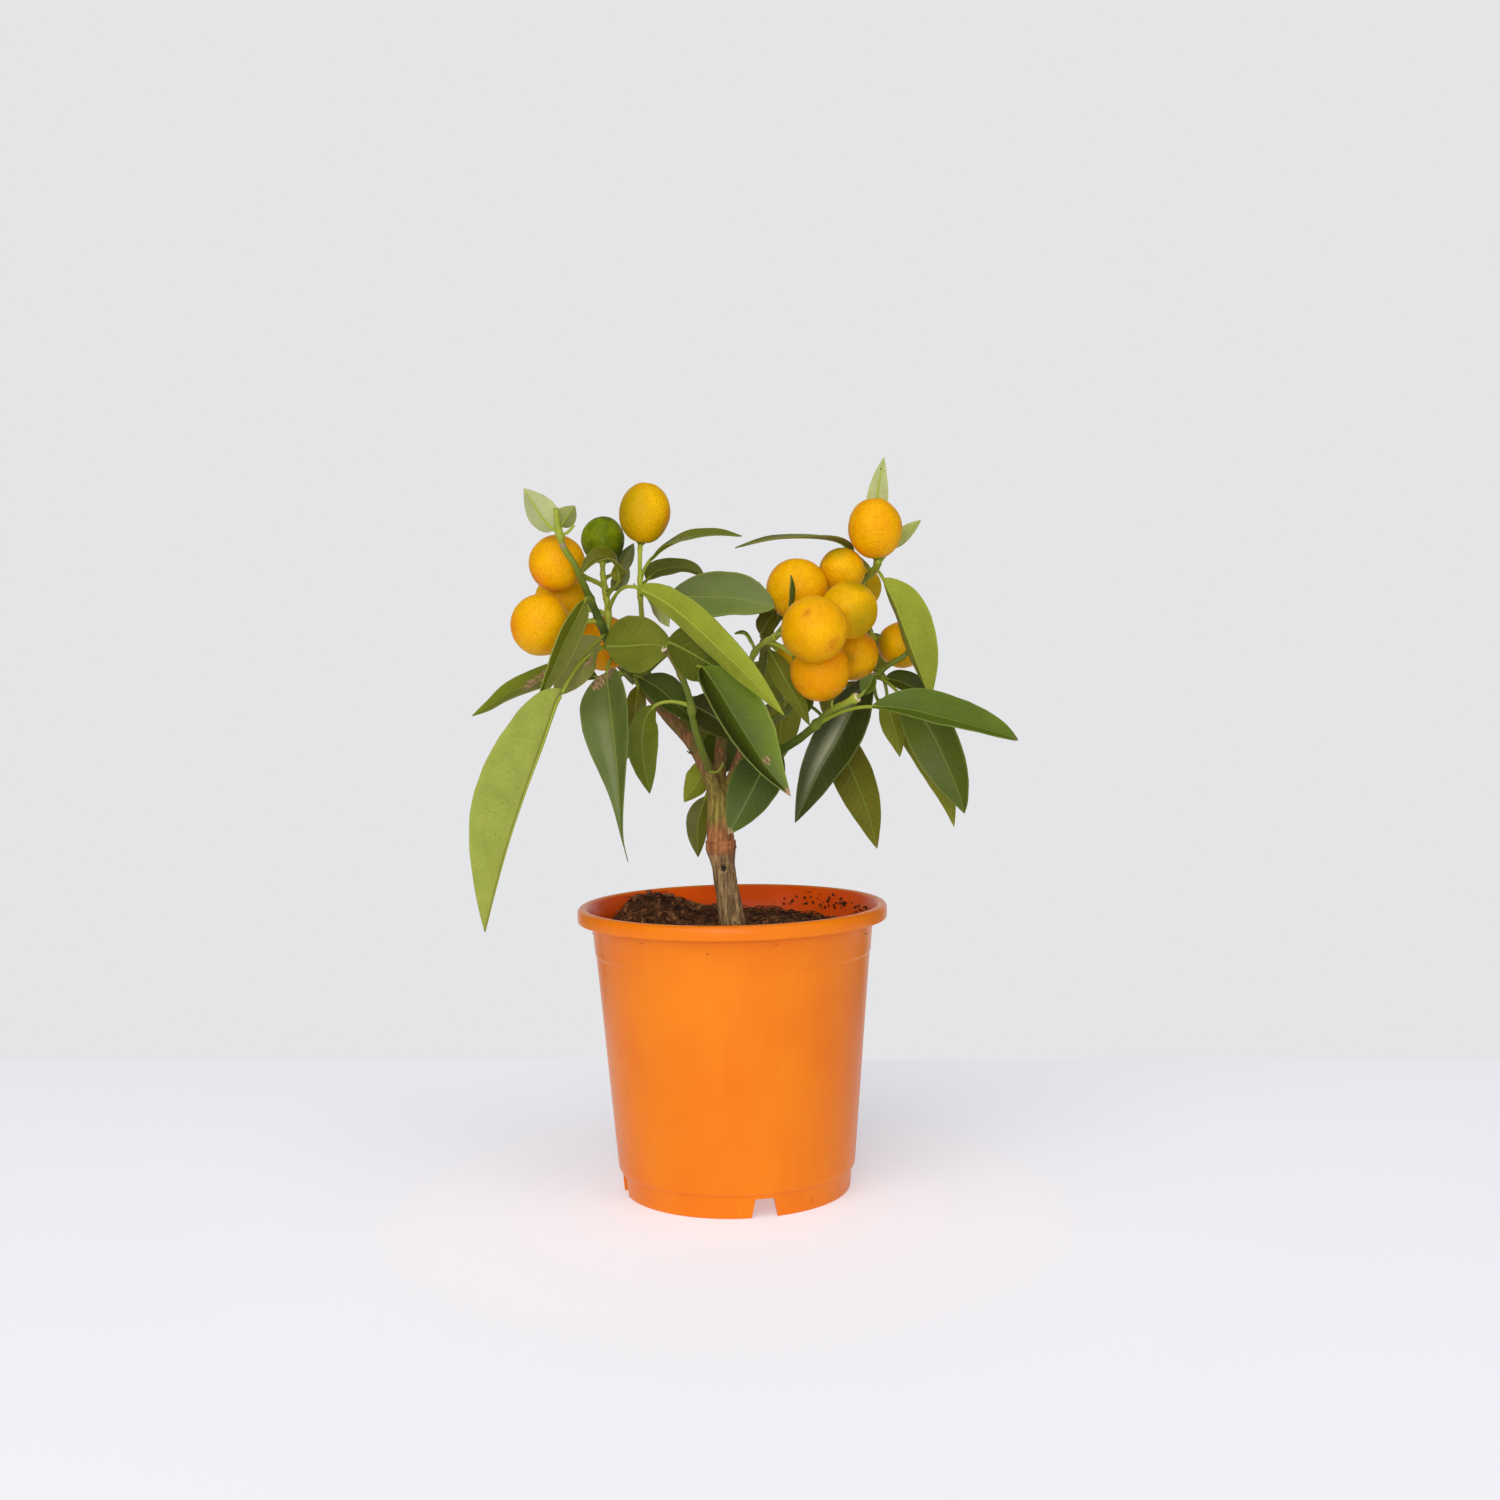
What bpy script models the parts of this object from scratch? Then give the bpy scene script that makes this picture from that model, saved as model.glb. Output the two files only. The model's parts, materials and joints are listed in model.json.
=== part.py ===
# Potted kumquat tree: a nursery pot filled with soil, a grafted trunk, leafy shoots and their fruit.
# Sizes are in millimetres here and scaled to metres as each mesh is made.
# The pot stands on the floor, its axis on Z, its front towards -Y.

import math

import bmesh
import bpy
from mathutils import Matrix, Vector

MM = 0.001
GAP = 0.3

# The pot
RIM_RADIUS = 65.0
POT_HEIGHT = 120.2
LIP_DROP = 6.0
LIP_THICK = 1.4
WALL = 1.3
NECK_RADIUS = 59.1
COLLAR_BOTTOM = 100.0
COLLAR_STEP = 0.4
FOOT_TOP = 9.2
WALL_FOOT_RADIUS = 49.9
FOOT_RADIUS = 47.85
FOOT_THICK = 1.9
PLATE_BOTTOM = 8.4
PLATE_TOP = 9.8
NOTCH_TURN = math.radians(13.7)
NOTCH_TOP = 8.0
NOTCH_BOTTOM = 11.2
NOTCH_HEIGHT = 7.9
DRAIN_RING = 33.0
DRAIN_RADIUS = 4.2
POT_SEGMENTS = 40

# The soil
SOIL_LEVEL = 109.6
SOIL_BED = PLATE_TOP + GAP
MOUND = (-37.0, 31.0, 10.5, 16.0)
LEFT_DIP = (-46.5, 4.0, 1.8)
HOLE_RADIUS = 6.1
HOLE_BOTTOM = 84.0

# The blades and the fruit
BLADE = 0.8
MOST_STATIONS = 8
STALK_RADIUS = 0.85

# Places are read as seen from the front: across and up on the plane of the trunk,
# with the depth behind it along the line of sight.
EYE = Vector((8.7, -759.0, 225.6))


def spot(across, depth, up):
    """The point at this depth that shows at (across, up) on the plane of the trunk."""
    reach = (depth - EYE.y) / -EYE.y
    return EYE + (Vector((across, 0.0, up)) - EYE) * reach


def leaf(root, path, face, width, fold=14, tip=1.0):
    """root is (twig, place along it), path the midrib, face what the upper side looks at."""
    return {
        "root": root,
        "path": path,
        "face": face,
        "width": width,
        "fold": fold,
        "tip": tip,
    }


def fruit(root, centre, radius, half, axis=None):
    """half is half the length, axis runs from the stalk's end to the other."""
    return {"root": root, "centre": centre, "radius": radius, "half": half, "axis": axis}


# The trunk and its branches: (across, depth, up, radius)
TRUNK = [
    [
        (0.5, 0, 84.4, 5.7),
        (0.5, 0, 108, 5.7),
        (-0.2, 0, 113, 5.5),
        (-2.1, 0, 125.8, 4.9),
        (-3.4, 0, 136, 4.9),
        (-4.0, 0, 141, 5.7),
        (-4.3, 0, 143.5, 6.6),
        (-4.4, 0, 146, 6.3),
        (-4.6, 0, 151, 5.4),
        (-5.0, 0, 158, 5.0),
        (-5.2, 0.5, 165, 4.6),
        (-5.6, 2, 170, 3.9),
    ],
    [
        (-5.2, 1, 164, 3.4),
        (-10.5, 8, 179, 3.2),
        (-16.4, 12, 189.4, 3.0),
        (-24, 14, 198, 2.8),
        (-30.7, 12, 206.4, 2.6),
        (-37, 8, 213.5, 2.4),
    ],
    [
        (-5, -0.5, 162, 3.2),
        (-7, -3.5, 170, 2.6),
        (-8.7, -7, 176.6, 2.1),
    ],
    [
        (-4, 1, 162, 3.2),
        (0, 4, 170, 2.9),
        (3.5, 6, 178.5, 2.7),
        (6.6, 8, 186.8, 2.6),
        (8.1, 10, 197.3, 2.5),
        (10, 11, 204, 2.3),
    ],
    [
        (-4.6, 2, 163, 3.2),
        (-4, 12, 180, 2.8),
        (-2, 24, 198, 2.4),
    ],
    [(2.5, 5, 176, 2.3), (6, 3.5, 178, 2.2), (9.4, 2, 180, 2.1)],
    [(7.8, 9.5, 193, 2.0), (12, 8, 194.5, 1.8)],
    [(8, 10, 196, 2.2), (14, 20, 200, 1.9)],
    [(-24, 14, 198, 2.3), (-28, 22, 202, 1.9)],
    [(-30.7, 12, 206.4, 1.9), (-32, 14, 211, 1.6)],
    [(-4.5, 3, 157, 2.0), (-7, 10, 164, 1.5)],
]

# Each shoot: its twigs as (across, depth, up) with the radii at both ends, its leaves and its fruit
SHOOTS = {
    "left_shoot": {
        "twigs": [
            (
                [
                    (-37.3, 7.8, 213.8),
                    (-38.5, 7, 215.2),
                    (-40.9, 2, 218.3),
                    (-45.8, -6, 225.5),
                    (-49.8, -12, 231.9),
                    (-56.2, -22, 247.4),
                    (-62.9, -35.5, 263.3),
                    (-67.3, -40, 270.5),
                    (-69.4, -43, 278.5),
                    (-70.3, -46, 287),
                ],
                2.0,
                1.2,
            ),
            (
                [(-50, -12.5, 233), (-49.5, -10, 243), (-50.5, -6, 252), (-51.5, -2, 260)],
                1.4,
                1.0,
            ),
            ([(-68.7, -41.8, 275.5), (-65.5, -41, 277.1), (-62.9, -40, 279.9)], 0.7, 0.6),
        ],
        "leaves": {
            "hanging": leaf(
                (0, 3.6),
                [
                    (-68.8, -43, 211.6),
                    (-72.2, -48, 205.4),
                    (-75, -52, 198),
                    (-78.8, -56, 187.6),
                    (-86.4, -61, 168.4),
                    (-94.2, -63, 146.4),
                    (-101.2, -63, 122.6),
                    (-104.5, -62, 109.9),
                ],
                (-0.86, 0.5, 0.1),
                37,
                42,
            ),
            "wing": leaf(
                (0, 2.0),
                [
                    (-54.4, -4, 216.1),
                    (-63.9, 0, 218.2),
                    (-76.6, 9, 215.6),
                    (-91.4, 19, 210.5),
                    (-100.7, 25, 204.8),
                    (-107.5, 28, 201.1),
                ],
                (0, -0.7, 0.7),
                17,
            ),
            "narrow": leaf(
                (0, 5.1),
                [
                    (-59.1, -33, 248.7),
                    (-62.1, -37, 242.5),
                    (-68.7, -42, 230.1),
                    (-74.4, -44, 217.7),
                    (-79.7, -45, 207.3),
                ],
                (0.5, -0.7, 0.3),
                12,
                40,
            ),
            "grey": leaf(
                (0, 4.1),
                [(-53, -21, 232.5), (-59.5, -27, 226.5), (-67, -32, 216), (-73.5, -35, 208.5)],
                (0.1, 0.9, 0.4),
                15.5,
            ),
            "top_left": leaf(
                (0, 7.7),
                [(-71.5, -39, 278), (-75.8, -38, 283), (-79.6, -38, 289), (-83.3, -38, 295.6)],
                (0.3, 0.9, 0.3),
                14,
                20,
            ),
            "top_right": leaf(
                (0, 7.8),
                [(-68.3, -39, 279.5), (-66, -38, 283), (-62.4, -38, 288)],
                (-0.3, 0.9, 0.4),
                9,
            ),
            "curled": leaf(
                (1, 1.7),
                [
                    (-45, -14, 255),
                    (-45, -20, 262),
                    (-50.3, -26, 266.5),
                    (-56.6, -31, 264.5),
                    (-60.5, -34, 259.5),
                ],
                (0.1, -0.6, 0.8),
                10,
                20,
            ),
            "tuft": leaf(
                (1, 2.0),
                [(-47.5, -10, 252.5), (-43.5, -11, 258), (-41, -12, 264)],
                (0.4, -0.8, 0.3),
                7,
            ),
            "peek": leaf(
                (1, 2.6),
                [(-45, 4, 260), (-41.5, 8, 266), (-38.1, 9, 272)],
                (0.3, -0.9, 0.3),
                7,
            ),
            "diagonal": leaf(
                (1, 1.1),
                [
                    (-37.5, -33, 253.6),
                    (-27, -42, 248.3),
                    (-15.5, -51, 239.3),
                    (-3, -60, 227.3),
                    (9, -69, 215.2),
                    (23.6, -77, 198.7),
                ],
                (0.35, 0.8, 0.5),
                17,
                12,
            ),
            "broad": leaf(
                (0, 4.0),
                [
                    (-51, -18, 229.3),
                    (-42.8, -21, 229.2),
                    (-32.3, -23, 229.6),
                    (-21.9, -24, 228.4),
                ],
                (0.1, 0.95, 0.3),
                25,
                8,
            ),
            "dark_front": leaf(
                (0, 3.0),
                [
                    (-50.6, -22, 218.5),
                    (-49.6, -32, 206.8),
                    (-48, -42, 190),
                    (-46.8, -48, 173.1),
                    (-46.3, -50, 158.3),
                    (-45.6, -50, 147.8),
                    (-43.5, -49, 138.4),
                ],
                (-0.5, -0.85, 0.2),
                26,
                28,
                2.2,
            ),
            "brownish": leaf(
                (0, 1.4),
                [(-37.5, -4, 212.5), (-39.2, -8, 202.4), (-40.7, -9, 189.8)],
                (0.3, -0.9, 0.2),
                9,
            ),
            "under": leaf(
                (0, 1.7),
                [(-36.8, -2, 216), (-28.5, -6, 210.6), (-20.3, -8, 202.9), (-13, -8, 196)],
                (0.3, -0.75, 0.6),
                17,
            ),
        },
        "fruit": {
            "fruit_02": fruit((1, 2.9), (-51, 3, 273.5), 9.1, 10.0),
            "fruit_03": fruit((1, 2.2), (-70.4, -22, 264.3), 11.5, 11.3),
            "fruit_04": fruit((0, 4.5), (-77.7, -28, 238.6), 12.5, 12.2),
            "fruit_05": fruit((1, 0.9), (-68.7, -3, 248.9), 11.3, 11.3),
            "fruit_06": fruit((0, 2.2), (-51.5, 13, 230.6), 11.8, 11.8),
        },
    },
    "front_shoot": {
        "twigs": [
            (
                [
                    (-8.8, -7.2, 177),
                    (-9.3, -8.2, 178.8),
                    (-12.2, -14, 187.2),
                    (-15, -20, 197.7),
                    (-16.1, -25, 206.1),
                    (-19.6, -30, 216.7),
                    (-24.8, -34, 226.4),
                    (-26.5, -35, 228.1),
                ],
                1.7,
                1.3,
            ),
        ],
        "leaves": {
            "side": leaf(
                (0, 3.7),
                [
                    (-31, -25, 204.3),
                    (-35.1, -23, 198.1),
                    (-36.6, -21, 185.5),
                    (-33.7, -18, 167),
                ],
                (0.2, -0.95, 0.2),
                13.5,
                20,
            ),
            "folded": leaf(
                (0, 5.0),
                [
                    (-10.5, -44, 219.8),
                    (-4.5, -52, 210.5),
                    (2.7, -60, 198.2),
                    (9.3, -65, 187),
                    (16.3, -70, 176),
                    (25.4, -73, 165),
                ],
                (0.3, -0.85, 0.45),
                25,
                34,
            ),
            "olive": leaf(
                (0, 6.6),
                [(-25, -37, 231), (-17, -41, 227), (-8, -45, 221.5), (1, -48, 216.5)],
                (0.2, 0.9, 0.3),
                23,
                8,
            ),
            "shade": leaf(
                (0, 3.5),
                [(-17, -12, 205), (-8, -12, 200), (-1, -14, 195), (7, -16, 188.5)],
                (0.1, -0.8, 0.55),
                20,
            ),
        },
        "fruit": {},
    },
    "top_shoot": {
        "twigs": [
            (
                [
                    (-32.1, 14.2, 211.4),
                    (-32.6, 14.9, 213.2),
                    (-34, 10, 224),
                    (-35.2, 3, 238),
                    (-35.9, -5, 250),
                    (-35.8, -10, 263),
                    (-35.6, -11, 269.8),
                ],
                1.4,
                0.9,
            ),
        ],
        "leaves": {
            "wing_high": leaf(
                (0, 4.5),
                [
                    (-31.6, -10, 264.8),
                    (-26.5, -13, 269.3),
                    (-18.9, -18, 272.9),
                    (-10.5, -22, 274.6),
                    (-2.1, -25, 275.1),
                    (7, -27, 274.1),
                ],
                (0, -0.4, 0.9),
                13,
                10,
            ),
            "arched": leaf(
                (0, 4.2),
                [
                    (-33, -3, 256.6),
                    (-28.6, 0, 260),
                    (-21.2, 2, 261.5),
                    (-14.9, 2, 260.7),
                    (-8.7, 1, 257.3),
                ],
                (0, -0.5, 0.87),
                14,
                10,
            ),
            "pale": leaf(
                (0, 4.0),
                [(-34, -10, 251), (-31.1, -18, 247.6), (-27.5, -25, 243), (-24.2, -30, 236.8)],
                (0.2, 0.9, 0.4),
                11,
            ),
            "broad_dark": leaf(
                (0, 4.1),
                [
                    (-24.3, -12, 249.5),
                    (-11, -16, 249),
                    (3, -19, 248.4),
                    (13, -21, 246),
                    (20, -23, 243.8),
                ],
                (0.1, -0.8, 0.6),
                25,
                12,
                0.75,
            ),
        },
        "fruit": {
            "fruit_01": fruit((0, 6.0), (-33.4, -12, 284.4), 10.5, 12.5),
        },
    },
    "right_low_shoot": {
        "twigs": [
            (
                [
                    (9.8, 1.8, 180.2),
                    (11.4, 1.1, 181.2),
                    (14.9, -4, 182),
                    (25.5, -14, 186.5),
                    (34, -23, 192.6),
                    (42.5, -32, 200),
                    (48.9, -38, 203.3),
                    (54.3, -41, 206.1),
                ],
                2.0,
                1.6,
            ),
        ],
        "leaves": {
            "before_trunk": leaf(
                (0, 2.6),
                [
                    (19.2, -19, 186),
                    (14.9, -24, 178.3),
                    (10.5, -28, 169.9),
                    (4.9, -30, 159.5),
                    (-1.2, -31, 149.1),
                ],
                (-0.1, -0.95, 0.3),
                21,
            ),
            "reach_right": leaf(
                (0, 4.3),
                [
                    (60, -47, 202),
                    (74, -50, 200.6),
                    (88.6, -51, 197),
                    (105.3, -51, 192.1),
                    (121.2, -50, 186.8),
                ],
                (0.1, -0.6, 0.8),
                22,
                25,
                0.8,
            ),
            "end": leaf(
                (0, 6.8),
                [(56.5, -42, 207.3), (59.4, -43, 211), (61.6, -43, 216.4)],
                (-0.4, -0.8, 0.4),
                8,
                30,
            ),
        },
        "fruit": {},
    },
    "right_mid_shoot": {
        "twigs": [
            (
                [
                    (12.4, 7.9, 194.6),
                    (14.2, 7.2, 195.3),
                    (18, 5, 196.5),
                    (24.5, 3, 201),
                    (31, 2, 207.5),
                    (45, 2, 211),
                    (56, 1, 212),
                    (61, -3, 214.5),
                    (67.9, -8, 219.6),
                    (74.3, -9, 223.3),
                    (77.3, -8, 227.4),
                ],
                1.8,
                1.1,
            ),
        ],
        "leaves": {
            "glossy": leaf(
                (0, 7.0),
                [
                    (60.5, -19, 214),
                    (54.3, -14, 204.8),
                    (46.6, -12, 190.3),
                    (37.9, -13, 175.7),
                    (32.7, -15, 165.3),
                    (27, -17, 153.6),
                ],
                (-0.2, -0.95, 0.2),
                20,
                12,
            ),
            "right_dark": leaf(
                (0, 7.0),
                [
                    (71, -13, 208),
                    (82, -16, 196),
                    (91, -18, 177.8),
                    (96.8, -19, 163),
                    (98.3, -19, 156.2),
                ],
                (-0.4, -0.85, 0.2),
                22,
                22,
                0.95,
            ),
            "right_olive": leaf(
                (0, 6.7),
                [
                    (62, 3, 205),
                    (70, 4, 198),
                    (79, 4, 189),
                    (87, 3, 174),
                    (92, 2, 161),
                    (93.9, 0, 150.7),
                ],
                (-0.3, 0.9, 0.2),
                14,
            ),
            "small_tip": leaf(
                (0, 7.3),
                [(66.5, -5, 207), (68, -6, 197), (70.5, -8, 188), (71.5, -9, 180.6)],
                (-0.3, 0.9, 0.2),
                10,
            ),
            "behind_olive": leaf(
                (0, 3.6),
                [
                    (41, 4, 196),
                    (46.5, 3, 185.5),
                    (52.3, 0, 172.1),
                    (57.5, -3, 158),
                    (61.4, -5, 142),
                ],
                (-0.2, 0.95, 0.2),
                18,
            ),
            "crest": leaf(
                (0, 7.4),
                [(65.5, -4, 213.5), (72.1, -4, 212), (80, -4, 208), (88, -4, 202)],
                (0.1, -0.6, 0.8),
                15,
            ),
            "drip": leaf(
                (0, 4.0),
                [(31.8, -2, 208), (33, -5, 204), (33.3, -7, 200)],
                (0, -0.95, 0.2),
                6,
            ),
        },
        "fruit": {},
    },
    "right_top_shoot": {
        "twigs": [
            (
                [
                    (10.1, 11.1, 204.4),
                    (10.7, 11.4, 206.4),
                    (12.1, 12, 210.5),
                    (14.8, 10, 222.3),
                    (16.2, 9, 230.6),
                    (22, 11, 240),
                    (34, 12, 249),
                    (46, 11, 252),
                    (57.2, 3, 255.3),
                    (61.8, -3, 258.8),
                    (63.6, -7, 261.8),
                ],
                2.1,
                1.2,
            ),
            (
                [(12.1, 12, 209.8), (9, 0, 218), (12.5, -14, 227), (20.5, -30, 232.2)],
                1.5,
                1.2,
            ),
            ([(52, 8, 253.5), (57, 11, 243), (60, 9, 233)], 1.2, 1.0),
        ],
        "leaves": {
            "edge_on": leaf(
                (0, 8.7),
                [
                    (53.5, 3, 266),
                    (47.8, -2, 271),
                    (37.4, -8, 273),
                    (22.8, -14, 273),
                    (12.4, -17, 271.3),
                    (4, -18, 269.2),
                ],
                (0, -0.15, 0.98),
                14,
                8,
            ),
            "bulging": leaf(
                (0, 9.0),
                [
                    (65.5, -15, 255.6),
                    (70.5, -20, 245),
                    (75.3, -24, 231.6),
                    (80.5, -26, 217),
                    (84.8, -27, 204.4),
                ],
                (0.7, 0.7, 0.0),
                24,
                42,
            ),
            "upright": leaf(
                (0, 9.2),
                [(62.3, 7, 272), (63.2, 8, 285), (64.9, 8, 297), (66.7, 8, 305.7)],
                (0.1, 0.95, -0.1),
                9.5,
            ),
            "ear": leaf(
                (0, 9.5),
                [(69.5, 3, 268), (75, 4, 273.8), (81.7, 4, 279.4)],
                (0.1, 0.8, 0.5),
                6.5,
            ),
            "slim": leaf(
                (0, 4.0),
                [
                    (17.5, -9, 226.5),
                    (22.5, -18, 217),
                    (28.5, -20, 206),
                    (34, -18, 194.3),
                ],
                (-0.1, 0.95, 0.2),
                9.5,
            ),
            "dart": leaf(
                (1, 2.9),
                [(26.5, -34, 243), (27.2, -34.5, 249.5), (27.2, -34, 257.5)],
                (0.8, -0.5, 0),
                4.2,
            ),
            "wedge": leaf(
                (0, 3.8),
                [(14, -1, 233), (17.3, -4, 238.5), (21, -6, 243.5)],
                (-0.2, -0.9, 0.3),
                9.5,
            ),
            "fin": leaf(
                (0, 4.2),
                [(16.5, 0, 238), (16, -4, 246), (13.5, -6, 255)],
                (-0.3, -0.9, 0.2),
                7,
            ),
            "sliver": leaf(
                (1, 1.8),
                [(10.5, -12, 229.5), (7.5, -14, 233.5), (3, -15, 233.6)],
                (0, -0.3, 0.95),
                4,
            ),
        },
        "fruit": {
            "fruit_07": fruit((0, 10.0), (62.5, -8, 276.2), 11.2, 12.6),
            "fruit_08": fruit((0, 7.2), (48.5, -5, 258.8), 9.6, 9.6),
            "fruit_09": fruit((0, 5.8), (29.6, -15, 251.7), 12.6, 12.0),
            "fruit_10": fruit((2, 0.6), (51.1, -28, 242.5), 11.6, 12.0),
            "fruit_11": fruit((1, 3.0), (36.6, -49, 234.8), 13.1, 13.3, (0.8, -0.6, 0.1)),
            "fruit_12": fruit((1, 2.6), (38.6, -28, 217.3), 12.2, 12.2, (0.75, 0.1, -0.5)),
            "fruit_13": fruit((2, 1.5), (52.5, -7, 223.7), 10.6, 10.8),
            "fruit_14": fruit((2, 2.0), (73.1, 5, 227.5), 9.7, 10.3, (1.0, -0.1, -0.2)),
            "fruit_15": fruit((0, 8.2), (55.9, 23, 251.9), 9.3, 9.3),
            "fruit_16": fruit((0, 3.9), (29.4, -5, 220.4), 10.2, 10.2),
        },
    },
    "low_shoot": {
        "twigs": [([(-7.1, 10.3, 164.3), (-7.6, 11.7, 165.7), (-9, 13, 172), (-10, 15, 180)], 1.4, 1.0)],
        "leaves": {
            "light": leaf(
                (0, 3.0),
                [(-11.5, 13, 181), (-12.5, 10, 173.5), (-19.4, 8, 163.3)],
                (-0.2, 0.9, 0.3),
                12,
            ),
            "droop": leaf(
                (0, 1.4),
                [(-10, 10, 165.5), (-13.6, 7, 155), (-14, 6, 140)],
                (-0.3, -0.9, 0.2),
                10.5,
            ),
            "rear": leaf(
                (0, 2.0),
                [(-8, 21, 174), (-3.5, 29, 184), (1.5, 35, 193), (6, 39, 201)],
                (0.1, -0.9, 0.3),
                19,
            ),
        },
        "fruit": {},
    },
    "back_left_shoot": {
        "twigs": [
            (
                [
                    (-28.2, 22.4, 202.2),
                    (-29, 24, 203),
                    (-37, 30, 214),
                    (-49, 36, 226),
                    (-60, 40, 238),
                    (-66, 42, 249),
                ],
                1.8,
                1.1,
            ),
        ],
        "leaves": {
            "a": leaf(
                (0, 4.9),
                [(-68, 47, 253), (-72, 58, 258), (-73, 72, 252)],
                (0, 0.5, 0.9),
                18,
            ),
            "b": leaf(
                (0, 4.0),
                [(-58, 47, 236), (-56, 59, 240), (-55, 73, 236)],
                (0, 0.4, 0.9),
                18,
            ),
            "c": leaf(
                (0, 3.2),
                [(-46, 47, 225), (-42, 62, 223), (-40, 78, 213)],
                (0.2, 0.4, 0.9),
                20,
            ),
            "d": leaf(
                (0, 2.4),
                [(-48, 34, 212), (-53, 40, 200), (-52, 44, 182)],
                (-0.5, 0.8, 0.3),
                17,
            ),
            "e": leaf(
                (0, 1.8),
                [(-38, 36, 206), (-42, 46, 196), (-44, 53, 181)],
                (0.2, 0.8, 0.5),
                18,
            ),
        },
        "fruit": {
            "fruit_17": fruit((0, 4.4), (-77, 56, 238), 10.8, 11.2),
        },
    },
    "back_centre_shoot": {
        "twigs": [
            (
                [
                    (-2, 24.3, 198.4),
                    (-1.8, 25.4, 200.1),
                    (-4, 33, 210),
                    (-7, 41, 223),
                    (-10, 46, 236),
                    (-12, 48, 244),
                ],
                2.0,
                1.1,
            ),
        ],
        "leaves": {
            "a": leaf(
                (0, 5.0),
                [(-14, 53, 247), (-17, 63, 250), (-20, 76, 246)],
                (0, 0.4, 0.9),
                19,
            ),
            "b": leaf(
                (0, 4.4),
                [(-6, 54, 242), (1, 64, 247), (8, 75, 244)],
                (0.3, 0.4, 0.9),
                19,
            ),
            "c": leaf(
                (0, 3.5),
                [(-20, 44, 229), (-30, 52, 226), (-38, 56, 213)],
                (-0.4, 0.6, 0.7),
                18,
            ),
            "d": leaf(
                (0, 2.8),
                [(4, 44, 219), (14, 56, 216), (20, 68, 203)],
                (0.3, 0.6, 0.8),
                20,
            ),
            "e": leaf(
                (0, 2.0),
                [(-8, 42, 208), (-12, 56, 200), (-14, 66, 184)],
                (-0.1, 0.7, 0.7),
                19,
            ),
        },
        "fruit": {
            "fruit_18": fruit((0, 3.1), (-8, 66, 224), 11.6, 12.0),
        },
    },
    "back_right_shoot": {
        "twigs": [
            (
                [
                    (14.2, 20.4, 200.1),
                    (15.2, 22, 200.8),
                    (25, 30, 210),
                    (37, 36, 221),
                    (46, 40, 233),
                    (49, 42, 242),
                ],
                1.8,
                1.1,
            ),
        ],
        "leaves": {
            "a": leaf(
                (0, 5.0),
                [(50, 47, 245), (50, 58, 248), (46, 72, 244)],
                (0, 0.4, 0.9),
                18,
            ),
            "b": leaf(
                (0, 4.2),
                [(53, 45, 233), (60, 54, 228), (63, 66, 214)],
                (0.5, 0.5, 0.7),
                18,
            ),
            "c": leaf(
                (0, 3.4),
                [(34, 50, 226), (30, 64, 224), (26, 78, 212)],
                (0, 0.5, 0.9),
                19,
            ),
            "d": leaf(
                (0, 2.7),
                [(40, 32, 210), (46, 38, 198), (48, 42, 180)],
                (0.5, 0.8, 0.3),
                17,
            ),
            "e": leaf(
                (0, 2.0),
                [(24, 42, 206), (22, 54, 196), (20, 62, 178)],
                (0, 0.8, 0.6),
                18,
            ),
        },
        "fruit": {},
    },
}

COLOURS = {
    "pot": (0.93, 0.27, 0.03, 0.32),
    "soil": (0.045, 0.026, 0.016, 0.95),
    "trunk": (0.22, 0.16, 0.07, 0.75),
    "shoot": (0.06, 0.13, 0.02, 0.45),
    "fruit": (0.93, 0.42, 0.01, 0.42),
    "green": (0.05, 0.14, 0.01, 0.40),
}


def clear_scene():
    for obj in list(bpy.data.objects):
        bpy.data.objects.remove(obj, do_unlink=True)


def material(name):
    red, green, blue, roughness = COLOURS[name]
    made = bpy.data.materials.new(name)
    made.use_nodes = True
    shader = made.node_tree.nodes["Principled BSDF"]
    shader.inputs["Base Color"].default_value = (red, green, blue, 1.0)
    shader.inputs["Roughness"].default_value = roughness
    shader.inputs["Metallic"].default_value = 0.0
    return made


def collection(name, hidden=False):
    made = bpy.data.collections.new(name)
    bpy.context.scene.collection.children.link(made)
    made.hide_render = hidden
    return made


def add_object(name, data, home):
    obj = bpy.data.objects.new(name, data)
    home.objects.link(obj)
    return obj


def baked(obj, home):
    """The object as a plain mesh, its modifiers worked in and its loose caps welded."""
    graph = bpy.context.evaluated_depsgraph_get()
    graph.update()
    mesh = bpy.data.meshes.new_from_object(obj.evaluated_get(graph))
    name = obj.name
    for old in list(obj.users_collection):
        old.objects.unlink(obj)
    bpy.data.objects.remove(obj, do_unlink=True)
    work = bmesh.new()
    work.from_mesh(mesh)
    bmesh.ops.remove_doubles(work, verts=work.verts, dist=0.000001)
    bmesh.ops.recalc_face_normals(work, faces=work.faces)
    work.to_mesh(mesh)
    work.free()
    return add_object(name, mesh, home)


def bow(start, leaving, end, arriving, count=3):
    """A bowed line from one point to another, with the direction at both ends."""
    span = (end - start).length
    out = []
    for index in range(count + 1):
        t = index / count
        out.append(
            start * (2 * t**3 - 3 * t**2 + 1)
            + leaving * (span * (t**3 - 2 * t**2 + t))
            + end * (3 * t**2 - 2 * t**3)
            + arriving * (span * (t**3 - t**2))
        )
    return out


def smooth(points, steps):
    """Points on a curve that runs smoothly through all of these."""
    ends = [points[0] * 2 - points[1]] + points + [points[-1] * 2 - points[-2]]
    out = []
    for a, b, c, d in zip(ends, ends[1:], ends[2:], ends[3:]):
        out += bow(b, (c - a).normalized(), c, (d - b).normalized(), steps)[:-1]
    return out + [points[-1]]


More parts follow.
